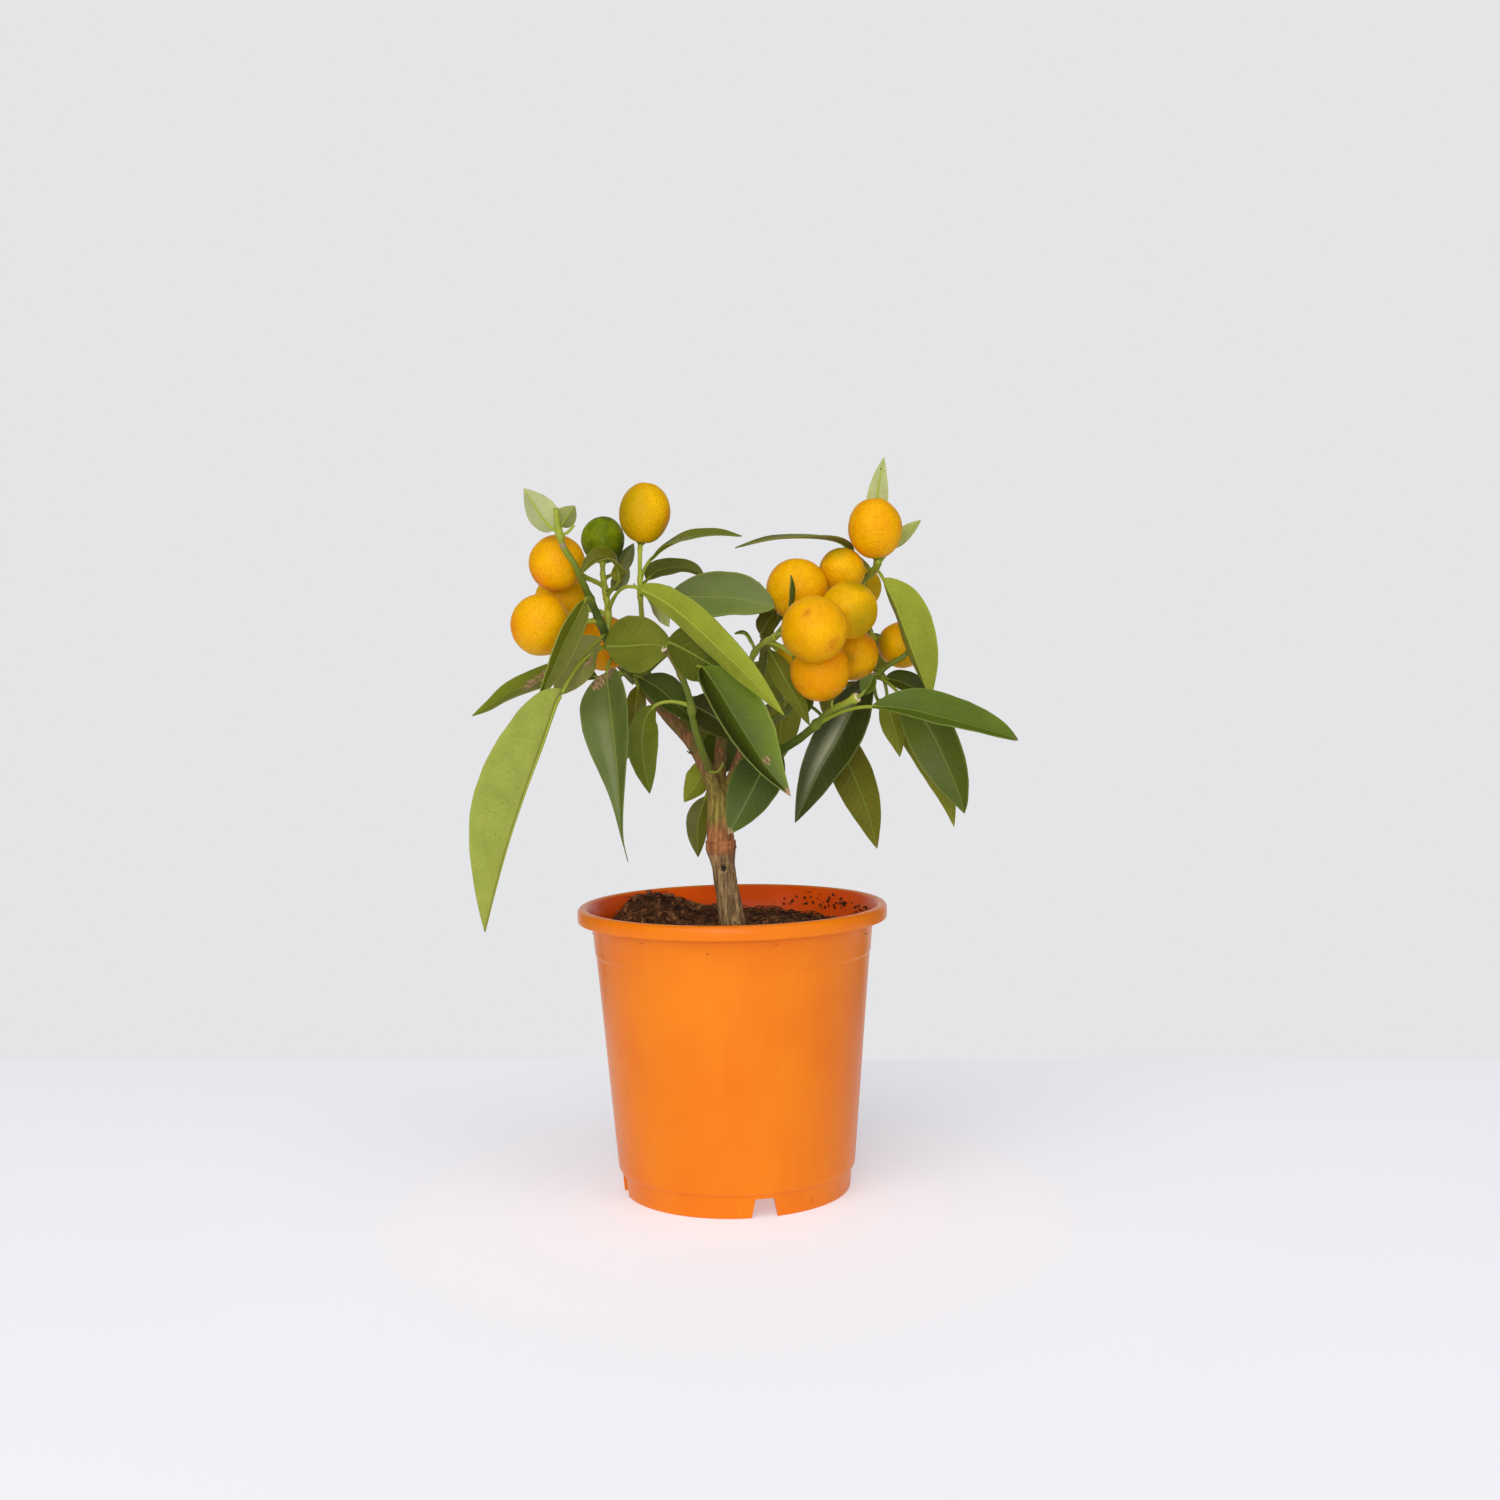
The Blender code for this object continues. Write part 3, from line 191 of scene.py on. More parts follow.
shootPlans["top_shoot"] = dict(
    twigs=[
        twig([(-32.1, 14.2, 211.4), (-32.6, 14.9, 213.2), (-34, 10, 224), (-35.2, 3, 238), (-35.9, -5, 250),
             (-35.8, -10, 263), (-35.6, -11, 269.8)], 1.4, 0.9, (0.3, 0.4), (0.75, 0.2), (0.95, 0.05)),
    ],
    spurs=[([(-35.6, -6, 252.5), (-37.4, -8, 253.6), (-38.6, -9, 255.2)], 0.6, 0.35, 0.9, 0.1)],
    leaves={
        "wing_high": leaf((0, 4.5), [(-31.6, -10, 264.8), (-26.5, -13, 269.3), (-18.9, -18, 272.9),
            (-10.5, -22, 274.6), (-2.1, -25, 275.1), (7, -27, 274.1)], (0, -0.4, 0.9), 13, 10, tone=0.55,
            warmth=0.35),
        "arched": leaf((0, 4.2), [(-33, -3, 256.6), (-28.6, 0, 260), (-21.2, 2, 261.5), (-14.9, 2, 260.7),
            (-8.7, 1, 257.3)], (0, -0.5, 0.87), 14, 10, tone=0.42, warmth=0.35),
        "pale": leaf((0, 4), [(-34, -10, 251), (-31.1, -18, 247.6), (-27.5, -25, 243), (-24.2, -30, 236.8)],
            (0.2, 0.9, 0.4), 11, tone=0.45, warmth=0.2, pale=0.4),
        "broad_dark": leaf((0, 4.1), [(-24.3, -12, 249.5), (-11, -16, 249), (3, -19, 248.4), (13, -21, 246),
            (20, -23, 243.8)], (0.1, -0.8, 0.6), 25, 12, 0.75, tone=0.5, warmth=0.08, lean=0.1, run=0.15,
            pale=0.12, margin=0.3),
    },
    fruit={
        "fruit_01": fruit((0, 6), (-33.4, -12, 284.4), 10.5, 12.5, ripe=0.25,
            spots=[((-0.9, -0.6, 0.1), 1.35, "green"), ((1, -0.2, -0.3), 0.5, "blush")]),
    },
    marks=(),
)
shootPlans["right_low_shoot"] = dict(
    twigs=[
        twig([(9.8, 1.8, 180.2), (11.4, 1.1, 181.2), (14.9, -4, 182), (25.5, -14, 186.5), (34, -23, 192.6),
             (42.5, -32, 200), (48.9, -38, 203.3), (54.3, -41, 206.1)], 2, 1.6, (0.2, 0.4), (0.12, 0.05),
             (0.15, 0), (0.3, 0), (0.7, 0)),
    ],
    marks=[(0, 1, 0.8, "cut")],
    spurs=[([(44, -33, 201), (43.4, -36, 203), (43.6, -37.5, 205)], 0.8, 0.3, 0.6, 0)],
    leaves={
        "before_trunk": leaf((0, 2.6), [(19.2, -19, 186), (14.9, -24, 178.3), (10.5, -28, 169.9),
            (4.9, -30, 159.5), (-1.2, -31, 149.1)], (-0.1, -0.95, 0.3), 21, tone=0.17, warmth=0.03,
            run=0.35, patches=[(1, 0.2, 4)]),
        "reach_right": leaf((0, 4.3), [(60, -47, 202), (74, -50, 200.6), (88.6, -51, 197),
            (105.3, -51, 192.1), (121.2, -50, 186.8)], (0.1, -0.6, 0.8), 22, 25, 0.8, tone=0.42,
            warmth=0.06, run=0.1, patches=[(1, 0, 3)]),
        "end": leaf((0, 6.8), [(56.5, -42, 207.3), (59.4, -43, 211), (61.6, -43, 216.4)], (-0.4, -0.8, 0.4),
            8, 30, tone=0.3, patches=[(1, 0, 2)]),
    },
    fruit={},
)
shootPlans["right_mid_shoot"] = dict(
    twigs=[
        twig([(12.4, 7.9, 194.6), (14.2, 7.2, 195.3), (18, 5, 196.5), (24.5, 3, 201), (31, 2, 207.5),
             (45, 2, 211), (56, 1, 212), (61, -3, 214.5), (67.9, -8, 219.6), (74.3, -9, 223.3),
             (77.3, -8, 227.4)], 1.8, 1.1, (0.2, 0.4), (0.25, 0.1), (0.3, 0.05)),
    ],
    leaves={
        "glossy": leaf((0, 7), [(60.5, -19, 214), (54.3, -14, 204.8), (46.6, -12, 190.3),
            (37.9, -13, 175.7), (32.7, -15, 165.3), (27, -17, 153.6)], (-0.2, -0.95, 0.2), 20, 12,
            tone=0.08, run=0.1, shine=(0.6, 0.25), margin=0.2),
        "right_dark": leaf((0, 7), [(71, -13, 208), (82, -16, 196), (91, -18, 177.8), (96.8, -19, 163),
            (98.3, -19, 156.2)], (-0.4, -0.85, 0.2), 22, 22, 0.95, tone=0.32, warmth=0.14, margin=0.2),
        "right_olive": leaf((0, 6.7), [(62, 3, 205), (70, 4, 198), (79, 4, 189), (87, 3, 174), (92, 2, 161),
            (93.9, 0, 150.7)], (-0.3, 0.9, 0.2), 14, tone=0.3, warmth=0.3),
        "small_tip": leaf((0, 7.3), [(66.5, -5, 207), (68, -6, 197), (70.5, -8, 188), (71.5, -9, 180.6)],
            (-0.3, 0.9, 0.2), 10, tone=0.35, warmth=0.25, patches=[(1, 0, 2)]),
        "behind_olive": leaf((0, 3.6), [(41, 4, 196), (46.5, 3, 185.5), (52.3, 0, 172.1), (57.5, -3, 158),
            (61.4, -5, 142)], (-0.2, 0.95, 0.2), 18, tone=0.12, warmth=0.35, patches=[(0.2, 0.1, 6)]),
        "crest": leaf((0, 7.4), [(65.5, -4, 213.5), (72.1, -4, 212), (80, -4, 208), (88, -4, 202)],
            (0.1, -0.6, 0.8), 15, tone=0.12, warmth=0.1),
        "drip": leaf((0, 4), [(31.8, -2, 208), (33, -5, 204), (33.3, -7, 200)], (0, -0.95, 0.2), 6,
            tone=0.45, warmth=0.2),
    },
    marks=(),
    spurs=(),
    fruit={},
)
shootPlans["right_top_shoot"] = dict(
    twigs=[
        twig([(10.1, 11.1, 204.4), (10.7, 11.4, 206.4), (12.1, 12, 210.5), (14.8, 10, 222.3),
             (16.2, 9, 230.6), (22, 11, 240), (34, 12, 249), (46, 11, 252), (57.2, 3, 255.3),
             (61.8, -3, 258.8), (63.6, -7, 261.8)], 2.1, 1.2, (0.2, 0.5), (0.25, 0.25), (0.5, 0.1)),
        twig([(12.1, 12, 209.8), (9, 0, 218), (12.5, -14, 227), (20.5, -30, 232.2)], 1.5, 1.2, (0.4, 0.2),
             (0.75, 0.05)),
        twig([(52, 8, 253.5), (57, 11, 243), (60, 9, 233)], 1.2, 1, (0.3, 0.1)),
    ],
    leaves={
        "edge_on": leaf((0, 8.7), [(53.5, 3, 266), (47.8, -2, 271), (37.4, -8, 273), (22.8, -14, 273),
            (12.4, -17, 271.3), (4, -18, 269.2)], (0, -0.15, 0.98), 14, 8, tone=0.5, warmth=0.5),
        "bulging": leaf((0, 9), [(65.5, -15, 255.6), (70.5, -20, 245), (75.3, -24, 231.6), (80.5, -26, 217),
            (84.8, -27, 204.4)], (0.7, 0.7, 0), 24, 42, tone=0.5, run=-0.15, margin=0.2),
        "upright": leaf((0, 9.2), [(62.3, 7, 272), (63.2, 8, 285), (64.9, 8, 297), (66.7, 8, 305.7)],
            (0.1, 0.95, -0.1), 9.5, tone=1, warmth=0, pale=0.6, spots=[(0.86, 0.1, 0.8)]),
        "ear": leaf((0, 9.5), [(69.5, 3, 268), (75, 4, 273.8), (81.7, 4, 279.4)], (0.1, 0.8, 0.5), 6.5,
            tone=0.9, warmth=0.2, pale=0.35),
        "slim": leaf((0, 4), [(17.5, -9, 226.5), (22.5, -18, 217), (28.5, -20, 206), (34, -18, 194.3)],
            (-0.1, 0.95, 0.2), 9.5, tone=0.25, warmth=0.15),
        "dart": leaf((1, 2.9), [(26.5, -34, 243), (27.2, -34.5, 249.5), (27.2, -34, 257.5)], (0.8, -0.5, 0),
            4.2, tone=0.25),
        "wedge": leaf((0, 3.8), [(14, -1, 233), (17.3, -4, 238.5), (21, -6, 243.5)], (-0.2, -0.9, 0.3), 9.5,
            tone=0.35, warmth=0.4),
        "fin": leaf((0, 4.2), [(16.5, 0, 238), (16, -4, 246), (13.5, -6, 255)], (-0.3, -0.9, 0.2), 7,
            tone=0.2, warmth=0.3),
        "sliver": leaf((1, 1.8), [(10.5, -12, 229.5), (7.5, -14, 233.5), (3, -15, 233.6)], (0, -0.3, 0.95),
            4, tone=0.6, warmth=0.1),
    },
    fruit={
        "fruit_07": fruit((0, 10), (62.5, -8, 276.2), 11.2, 12.6, ripe=0.66),
        "fruit_08": fruit((0, 7.2), (48.5, -5, 258.8), 9.6, 9.6, ripe=0.35,
            spots=[((-0.2, -0.3, 1), 0.9, "green")]),
        "fruit_09": fruit((0, 5.8), (29.6, -15, 251.7), 12.6, 12, ripe=0.52),
        "fruit_10": fruit((2, 0.6), (51.1, -28, 242.5), 11.6, 12, ripe=0.25,
            spots=[((0.5, -0.7, -0.45), 0.95, "green"), ((0.3, -0.3, 1), 0.6, "green")]),
        "fruit_11": fruit((1, 3), (36.6, -49, 234.8), 13.1, 13.3, ripe=0.55,
            spots=[((0.5, -0.75, -0.5), 0.42, "brown"), ((-0.3, -0.9, 0.5), 0.3, "brown")],
            axis=(0.8, -0.6, 0.1)),
        "fruit_12": fruit((1, 2.6), (38.6, -28, 217.3), 12.2, 12.2, ripe=0.9,
            spots=[((0.3, -0.6, 0.8), 0.7, "blush")], axis=(0.75, 0.1, -0.5)),
        "fruit_13": fruit((2, 1.5), (52.5, -7, 223.7), 10.6, 10.8, ripe=0.5,
            spots=[((-0.2, -0.9, -0.1), 0.35, "green"), ((0.8, -0.4, 0.6), 0.6, "blush")]),
        "fruit_14": fruit((2, 2), (73.1, 5, 227.5), 9.7, 10.3, ripe=0.4,
            spots=[((-1, -0.4, 0.1), 0.7, "green")], axis=(1, -0.1, -0.2)),
        "fruit_15": fruit((0, 8.2), (55.9, 23, 251.9), 9.3, 9.3, ripe=0.15,
            spots=[((0.6, -0.8, 0), 0.8, "green")]),
        "fruit_16": fruit((0, 3.9), (29.4, -5, 220.4), 10.2, 10.2, ripe=0.3,
            spots=[((-0.8, -0.6, 0), 0.7, "green")]),
    },
    marks=(),
    spurs=(),
)
shootPlans["low_shoot"] = dict(
    twigs=[
        twig([(-7.1, 10.3, 164.3), (-7.6, 11.7, 165.7), (-9, 13, 172), (-10, 15, 180)], 1.4, 1, (0.3, 0.4),
             (0.4, 0.2)),
    ],
    leaves={
        "light": leaf((0, 3), [(-11.5, 13, 181), (-12.5, 10, 173.5), (-19.4, 8, 163.3)], (-0.2, 0.9, 0.3),
            12, tone=0.65, warmth=0.2),
        "droop": leaf((0, 1.4), [(-10, 10, 165.5), (-13.6, 7, 155), (-14, 6, 140)], (-0.3, -0.9, 0.2), 10.5,
            tone=0.35, warmth=0.45),
        "rear": leaf((0, 2), [(-8, 21, 174), (-3.5, 29, 184), (1.5, 35, 193), (6, 39, 201)],
            (0.1, -0.9, 0.3), 19),
    },
    marks=(),
    spurs=(),
    fruit={},
)
shootPlans["back_left_shoot"] = dict(
    twigs=[
        twig([(-28.2, 22.4, 202.2), (-29, 24, 203), (-37, 30, 214), (-49, 36, 226), (-60, 40, 238),
             (-66, 42, 249)], 1.8, 1.1, (0.3, 0.5), (0.45, 0.1)),
    ],
    leaves={
        "a": leaf((0, 4.9), [(-68, 47, 253), (-72, 58, 258), (-73, 72, 252)], (0, 0.5, 0.9), 18),
        "b": leaf((0, 4), [(-58, 47, 236), (-56, 59, 240), (-55, 73, 236)], (0, 0.4, 0.9), 18),
        "c": leaf((0, 3.2), [(-46, 47, 225), (-42, 62, 223), (-40, 78, 213)], (0.2, 0.4, 0.9), 20),
        "d": leaf((0, 2.4), [(-48, 34, 212), (-53, 40, 200), (-52, 44, 182)], (-0.5, 0.8, 0.3), 17),
        "e": leaf((0, 1.8), [(-38, 36, 206), (-42, 46, 196), (-44, 53, 181)], (0.2, 0.8, 0.5), 18),
    },
    fruit={
        "fruit_17": fruit((0, 4.4), (-77, 56, 238), 10.8, 11.2, ripe=0.5),
    },
    marks=(),
    spurs=(),
)
shootPlans["back_centre_shoot"] = dict(
    twigs=[
        twig([(-2, 24.3, 198.4), (-1.8, 25.4, 200.1), (-4, 33, 210), (-7, 41, 223), (-10, 46, 236),
             (-12, 48, 244)], 2, 1.1, (0.3, 0.5), (0.45, 0.1)),
    ],
    leaves={
        "a": leaf((0, 5), [(-14, 53, 247), (-17, 63, 250), (-20, 76, 246)], (0, 0.4, 0.9), 19),
        "b": leaf((0, 4.4), [(-6, 54, 242), (1, 64, 247), (8, 75, 244)], (0.3, 0.4, 0.9), 19),
        "c": leaf((0, 3.5), [(-20, 44, 229), (-30, 52, 226), (-38, 56, 213)], (-0.4, 0.6, 0.7), 18),
        "d": leaf((0, 2.8), [(4, 44, 219), (14, 56, 216), (20, 68, 203)], (0.3, 0.6, 0.8), 20),
        "e": leaf((0, 2), [(-8, 42, 208), (-12, 56, 200), (-14, 66, 184)], (-0.1, 0.7, 0.7), 19),
    },
    fruit={
        "fruit_18": fruit((0, 3.1), (-8, 66, 224), 11.6, 12, ripe=0.65),
    },
    marks=(),
    spurs=(),
)
shootPlans["back_right_shoot"] = dict(
    twigs=[
        twig([(14.2, 20.4, 200.1), (15.2, 22, 200.8), (25, 30, 210), (37, 36, 221), (46, 40, 233),
             (49, 42, 242)], 1.8, 1.1, (0.3, 0.5), (0.45, 0.1)),
    ],
    leaves={
        "a": leaf((0, 5), [(50, 47, 245), (50, 58, 248), (46, 72, 244)], (0, 0.4, 0.9), 18),
        "b": leaf((0, 4.2), [(53, 45, 233), (60, 54, 228), (63, 66, 214)], (0.5, 0.5, 0.7), 18),
        "c": leaf((0, 3.4), [(34, 50, 226), (30, 64, 224), (26, 78, 212)], (0, 0.5, 0.9), 19),
        "d": leaf((0, 2.7), [(40, 32, 210), (46, 38, 198), (48, 42, 180)], (0.5, 0.8, 0.3), 17),
        "e": leaf((0, 2), [(24, 42, 206), (22, 54, 196), (20, 62, 178)], (0, 0.8, 0.6), 18),
    },
    marks=(),
    spurs=(),
    fruit={},
)


# Lines and meshes in progress
def bow(start, leaving, end, arriving, count):
    # a bowed line between two points, with its direction at both ends
    span = (end - start).length
    out = []
    for t in (index / count for index in range(count + 1)):
        out.append(start * (2 * t**3 - 3 * t**2 + 1) + leaving * (span * (t**3 - 2 * t**2 + t))
                   + end * (3 * t**2 - 2 * t**3) + arriving * (span * (t**3 - t**2)))
    return out


def smooth(points, steps):
    # a curve through the points
    ends = [points[0] * 2 - points[1]] + points + [points[-1] * 2 - points[-2]]
    out = []
    for a, b, c, d in zip(ends, ends[1:], ends[2:], ends[3:]):
        out += bow(b, (c - a).normalized(), c, (d - b).normalized(), steps)[:-1]
    return out + [points[-1]]


def lengths(points):
    # how far along the line each point lies
    reach = [0.0]
    for a, b in zip(points, points[1:]):
        reach.append(reach[-1] + (b - a).length)
    return reach


def placesAlong(points, shares):
    # points at these shares of the line's length
    reach = lengths(points)
    out, place = [], 0
    for share in shares:
        goal = reach[-1] * share
        while place < len(points) - 2 and reach[place + 1] < goal:
            place += 1
        part = (goal - reach[place]) / max(reach[place + 1] - reach[place], 1e-9)
        out.append(points[place].lerp(points[place + 1], min(max(part, 0.0), 1.0)))
    return out


def newWork():
    # what its points carry for the materials: place is across and along in mm, and the share along
    work = bmesh.new()
    for name in ("place", "look", "wear", "trim"):
        work.verts.layers.float_vector.new(name)
    return work


def vertAt(work, point, **marks):
    vert = work.verts.new(point * mm)
    for name, value in marks.items():
        vert[work.verts.layers.float_vector[name]] = value
    return vert


def ringAt(work, radius, height, count):
    # a level ring of points, or the one point on the axis
    angles = [math.tau * i / count for i in range(count if radius else 1)]
    return [work.verts.new((radius * math.cos(a) * mm, radius * math.sin(a) * mm, height * mm))
            for a in angles]


def stitch(work, rows, flip=False, closed=True, slotIndex=0):
    # faces from each row of points to the next; a single point makes a tip
    for near, far in zip(rows, rows[1:]):
        count = max(len(near), len(far))
        for step in range(count if closed else count - 1):
            a, b, c, d = (row[(step + more) % count % len(row)]
                          for row, more in ((near, 0), (near, 1), (far, 1), (far, 0)))
            made = work.faces.new([*dict.fromkeys((a, d, c, b) if flip else (a, b, c, d))])
            made.smooth = True
            made.material_index = slotIndex


def growRod(work, points, radii, sides, look=(0.5, 0, 0), wear=(0, 0, 0), rough=0.0, slotIndex=3):
    # a round rod along the points, closed at both ends; look and wear are one value or one a point
    reach, side, rings = lengths(points), None, []
    looks, wears = (given if isinstance(given, list) else [given] * len(points) for given in (look, wear))
    for index, point in enumerate(points):
        along = (points[min(index + 1, len(points) - 1)] - points[max(index - 1, 0)]).normalized()
        if side is None:
            side = along.cross(Vector((0.3, 0.2, 0.93))).normalized()
        side = (side - along * side.dot(along)).normalized()
        other = along.cross(side)
        rings.append([])
        for angle in (math.tau * turn / sides for turn in range(sides)):
            out = side * math.cos(angle) + other * math.sin(angle)
            radius = radii[index] * (1 + rough * noise.noise(point * 0.45 + out * 1.3))
            place = (angle * radii[index], reach[index], reach[index] / reach[-1])
            rings[-1].append(vertAt(work, point + out * radius, place=place,
                                    look=looks[index], wear=wears[index]))
    start, end = ([vertAt(work, points[at], look=looks[at], wear=wears[at])] for at in (0, -1))
    stitch(work, [start, *rings, end], slotIndex=slotIndex)


def finishMesh(work, name, materials, sharp=None):
    mesh = bpy.data.meshes.new(name)
    work.to_mesh(mesh)
    work.free()
    for material in materials:
        mesh.materials.append(material)
    if sharp:
        mesh.set_sharp_from_angle(angle=math.radians(sharp))
    piece = bpy.data.objects.new(name, mesh)
    bpy.context.scene.collection.objects.link(piece)
    return piece


def settle(piece):
    # works the modifiers in, so that the piece is a plain mesh
    graph = bpy.context.evaluated_depsgraph_get()
    graph.update()
    done = piece.evaluated_get(graph)
    mesh = bpy.data.meshes.new_from_object(done, preserve_all_data_layers=True, depsgraph=graph)
    piece.modifiers.clear()
    piece.data = mesh
    mesh.name = piece.name


def keep(piece, slotName, *nodes):
    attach(piece, "root")
    if nodes:
        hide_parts(*nodes)


# Materials in progress
def tint(red, green, blue):
    def linear(value):
        value /= 255
        return value / 12.92 if value <= 0.04045 else ((value + 0.055) / 1.055) ** 2.4
    return (linear(red), linear(green), linear(blue), 1.0)


def feed(node, inputs):
    # each input takes a value, or the output that drives it
    for key, value in inputs.items():
        value = getattr(value, "socket", value)
        if isinstance(value, bpy.types.NodeSocket):
            node.id_data.links.new(value, node.inputs[key])
        else:
            node.inputs[key].default_value = value


def put(tree, kind, inputs, **settings):
    node = tree.nodes.new(kind)
    for key, value in settings.items():
        setattr(node, key, value)
    feed(node, inputs)
    return node


class Flow:
    # a value in a material that can be reckoned with as a number can
    def __init__(self, socket):
        self.socket = socket

    def calc(self, operation, other=0.0):
        node = put(self.socket.id_data, "ShaderNodeMath", {0: self, 1: other}, operation=operation)
        return Flow(node.outputs[0])

    def __add__(self, other):
        return self.calc("ADD", other)

    def __sub__(self, other):
        return self.calc("SUBTRACT", other)

    def __mul__(self, other):
        return self.calc("MULTIPLY", other)

    def __truediv__(self, other):
        return self.calc("DIVIDE", other)

    def ease(self, low, high, top=1.0):
        # 0 below low, rising softly to top at high
        inputs = {"Value": self, "From Min": low, "From Max": high, "To Min": 0.0, "To Max": top}
        node = put(self.socket.id_data, "ShaderNodeMapRange", inputs, interpolation_type="SMOOTHSTEP")
        return Flow(node.outputs[0])


class Finish:
    # a material laid on coat by coat, its patterns on the object's own coordinates
    def __init__(self, name, specular=0.5):
        self.material = bpy.data.materials.new(name)
        self.material.use_nodes = True
        self.tree = self.material.node_tree
        self.shader = self.tree.nodes["Principled BSDF"]
        feed(self.shader, {"Specular IOR Level": specular})
        self.place = self.add("TexCoord", "Object", {})

    def add(self, kind, output, inputs, **settings):
        return Flow(put(self.tree, "ShaderNode" + kind, inputs, **settings).outputs[output])

    def cloud(self, scale, detail=3.0, rough=0.55, stretch=None, place=None):
        place = place or self.place
        if stretch:
            place = self.add("Mapping", 0, {"Vector": place, "Scale": stretch})
        inputs = {"Vector": place, "Scale": scale, "Detail": detail, "Roughness": rough}
        return self.add("TexNoise", 0, inputs)

    def cells(self, scale):
        return self.add("TexVoronoi", "Distance", {"Vector": self.place, "Scale": scale})

    def split(self, vector):
        return [Flow(part) for part in put(self.tree, "ShaderNodeSeparateXYZ", {0: vector}).outputs]

    def read(self, name):
        # the three values that the mesh's points carry under this name
        return self.split(self.add("Attribute", "Vector", {}, attribute_name=name))

    def mix(self, share, first, second, mode="MIX"):
        return self.add("Mix", 2, {0: share, 6: first, 7: second}, data_type="RGBA", blend_type=mode)

    def coat(self, share, colour, mode="MIX"):
        # lays a colour over this share of what is there
        self.colour = self.mix(share, self.colour, colour, mode)

    def done(self, rough, relief, strength, distance):
        normal = self.add("Bump", 0, {"Height": relief, "Strength": strength, "Distance": distance})
        feed(self.shader, {"Base Color": self.colour, "Roughness": rough, "Normal": normal})
        return self.material


# Leaves and young wood
leafSettings = dict(
    top=(tint(14, 34, 0), tint(120, 146, 34), tint(112, 92, 14)),  # darkest, lightest, olive
    under=(tint(56, 66, 8), tint(176, 188, 62), tint(128, 108, 30)),
    greyBloomAndHighlight=tint(184, 186, 150), rib=tint(172, 182, 90),
    patchPale=tint(184, 146, 112), patchDark=tint(96, 74, 38), spot=tint(50, 52, 14),
    veinGap=3.4,  # between side veins along the midrib, in mm
)


def leafMaterial(name, upper):
    s = leafSettings
    m = Finish(name, 0.2 if upper else 0.08)
    across, along, share = m.read("place")
    tone, warmth, edge = m.read("look")
    patch, dark, pale = m.read("wear")
    margin, ribbed, seam = m.read("trim")
    blotch, fine = m.cloud(90.0), m.cloud(900.0, 2.0)
    darkest, lightest, olive = s["top" if upper else "under"]
    m.colour = m.mix(tone, darkest, lightest)
    m.coat(warmth, olive)
    # the pale grey of the blade, which also paints the highlight streak that runs along shiny blades
    m.coat(pale, s["greyBloomAndHighlight"])
    # cloudy lighter and darker places, with a finer grain in them
    both = ((blotch - 0.5) * 0.55 + 1.0) * ((fine - 0.5) * 0.25 + 1.0)
    m.coat(1.0, m.add("CombineColor", 0, {0: both, 1: both, 2: both}), "MULTIPLY")
    # side veins run out and forward from the midrib
    wide = across.calc("ABSOLUTE")
    phase = (along - wide * 0.95 + m.cloud(160.0, 2.0) * 1.8) * (math.tau / s["veinGap"])
    vein = phase.calc("SINE").calc("MAXIMUM").calc("POWER", 9.0) * edge.ease(1.0, 0.75)
    m.coat(vein * (0.03 if upper else 0.07), s["rib"])
    # the midrib narrows towards the tip, and a brown seam lies along some
    onRib = wide / (share * -0.42 + 0.62)
    m.coat(onRib.ease(1.0, 0.45) * ribbed, s["rib"])
    m.coat(onRib.ease(3.2, 1.2) * seam, s["patchDark"])
    m.coat(edge.ease(0.9, 1.0) * margin, s["rib"])
    # worn places fray into streaks along the blade
    fray = m.cloud(1.1, 4.0, place=m.add("CombineXYZ", 0, {0: across, 1: along * 0.3}))
    worn = m.mix(fray.ease(0.38, 0.62), s["patchDark"], s["patchPale"])
    m.coat((patch * (fray * 2.0)).ease(0.2, 0.95, 0.85), worn)
    m.coat(dark.ease(0.3, 0.7, 0.9), s["spot"])
    if not upper:
        glands = m.cells(620.0).ease(0.24, 0.1) * m.cloud(260.0).ease(0.5, 0.62)
        m.coat(glands * 0.45, s["spot"])
    relief = vein * (-0.25 if upper else 0.4) + fine * 0.5
    return m.done(blotch * 0.25 + (0.3 if upper else 0.44), relief, 0.5, 0.00018)


def stemMaterial():
    # tone lightens the green, and warmth turns it to bark
    m = Finish("youngWood", 0.25)
    tone, warmth = m.read("look")[:2]
    cut, scar = m.read("wear")[:2]
    streak = m.cloud(420.0, 3.0, 0.6, (1.0, 1.0, 0.25))
    m.colour = m.mix(tone, tint(30, 62, 6), tint(178, 188, 62))
    brown = m.mix(streak, tint(70, 48, 26), tint(138, 100, 60))
    m.coat((warmth + (streak - 0.5) * 0.9).ease(0.25, 0.8), brown)
    m.coat(m.cells(900.0).ease(0.22, 0.08) * 0.3, tint(206, 204, 150))
    m.coat(scar.ease(0.2, 0.7), tint(150, 136, 112))
    m.coat(cut.ease(0.4, 0.8), tint(226, 204, 180))
    return m.done(0.5, streak, 0.6, 0.0003)


leafUnder, youngWood = leafMaterial("leafUnder", False), stemMaterial()
leafMaterials = [leafMaterial("leafTop", True), leafUnder, leafUnder, youngWood]
bladeSettings = dict(rows=30, columns=5, thickness=0.5, pucker=0.03, coarseRows=8)
# Looks of a blade where its plan gives none: tone from dark to light, warmth from green to olive, pale from
# green to grey, lean, painted shade that darkens one half of the blade against the other, and run of the
# tone along it, shine as (strength, place across), a painted highlight streak laid in the pale grey, how
# strong its margin, midrib and brown seam are, and patches and spots as (share along, across from -1 to 1,
# reach in mm)
plainBlade = dict(tone=0.3, warmth=0.1, pale=0.0, lean=0.0, run=0.0, shine=(0.0, 0.0),
                  margin=0.1, rib=0.22, seam=0.0, patches=(), spots=())
stalkSettings = dict(radius=0.85, sides=9, fruitTone=0.8, swell=0.35, swellReach=1.8)


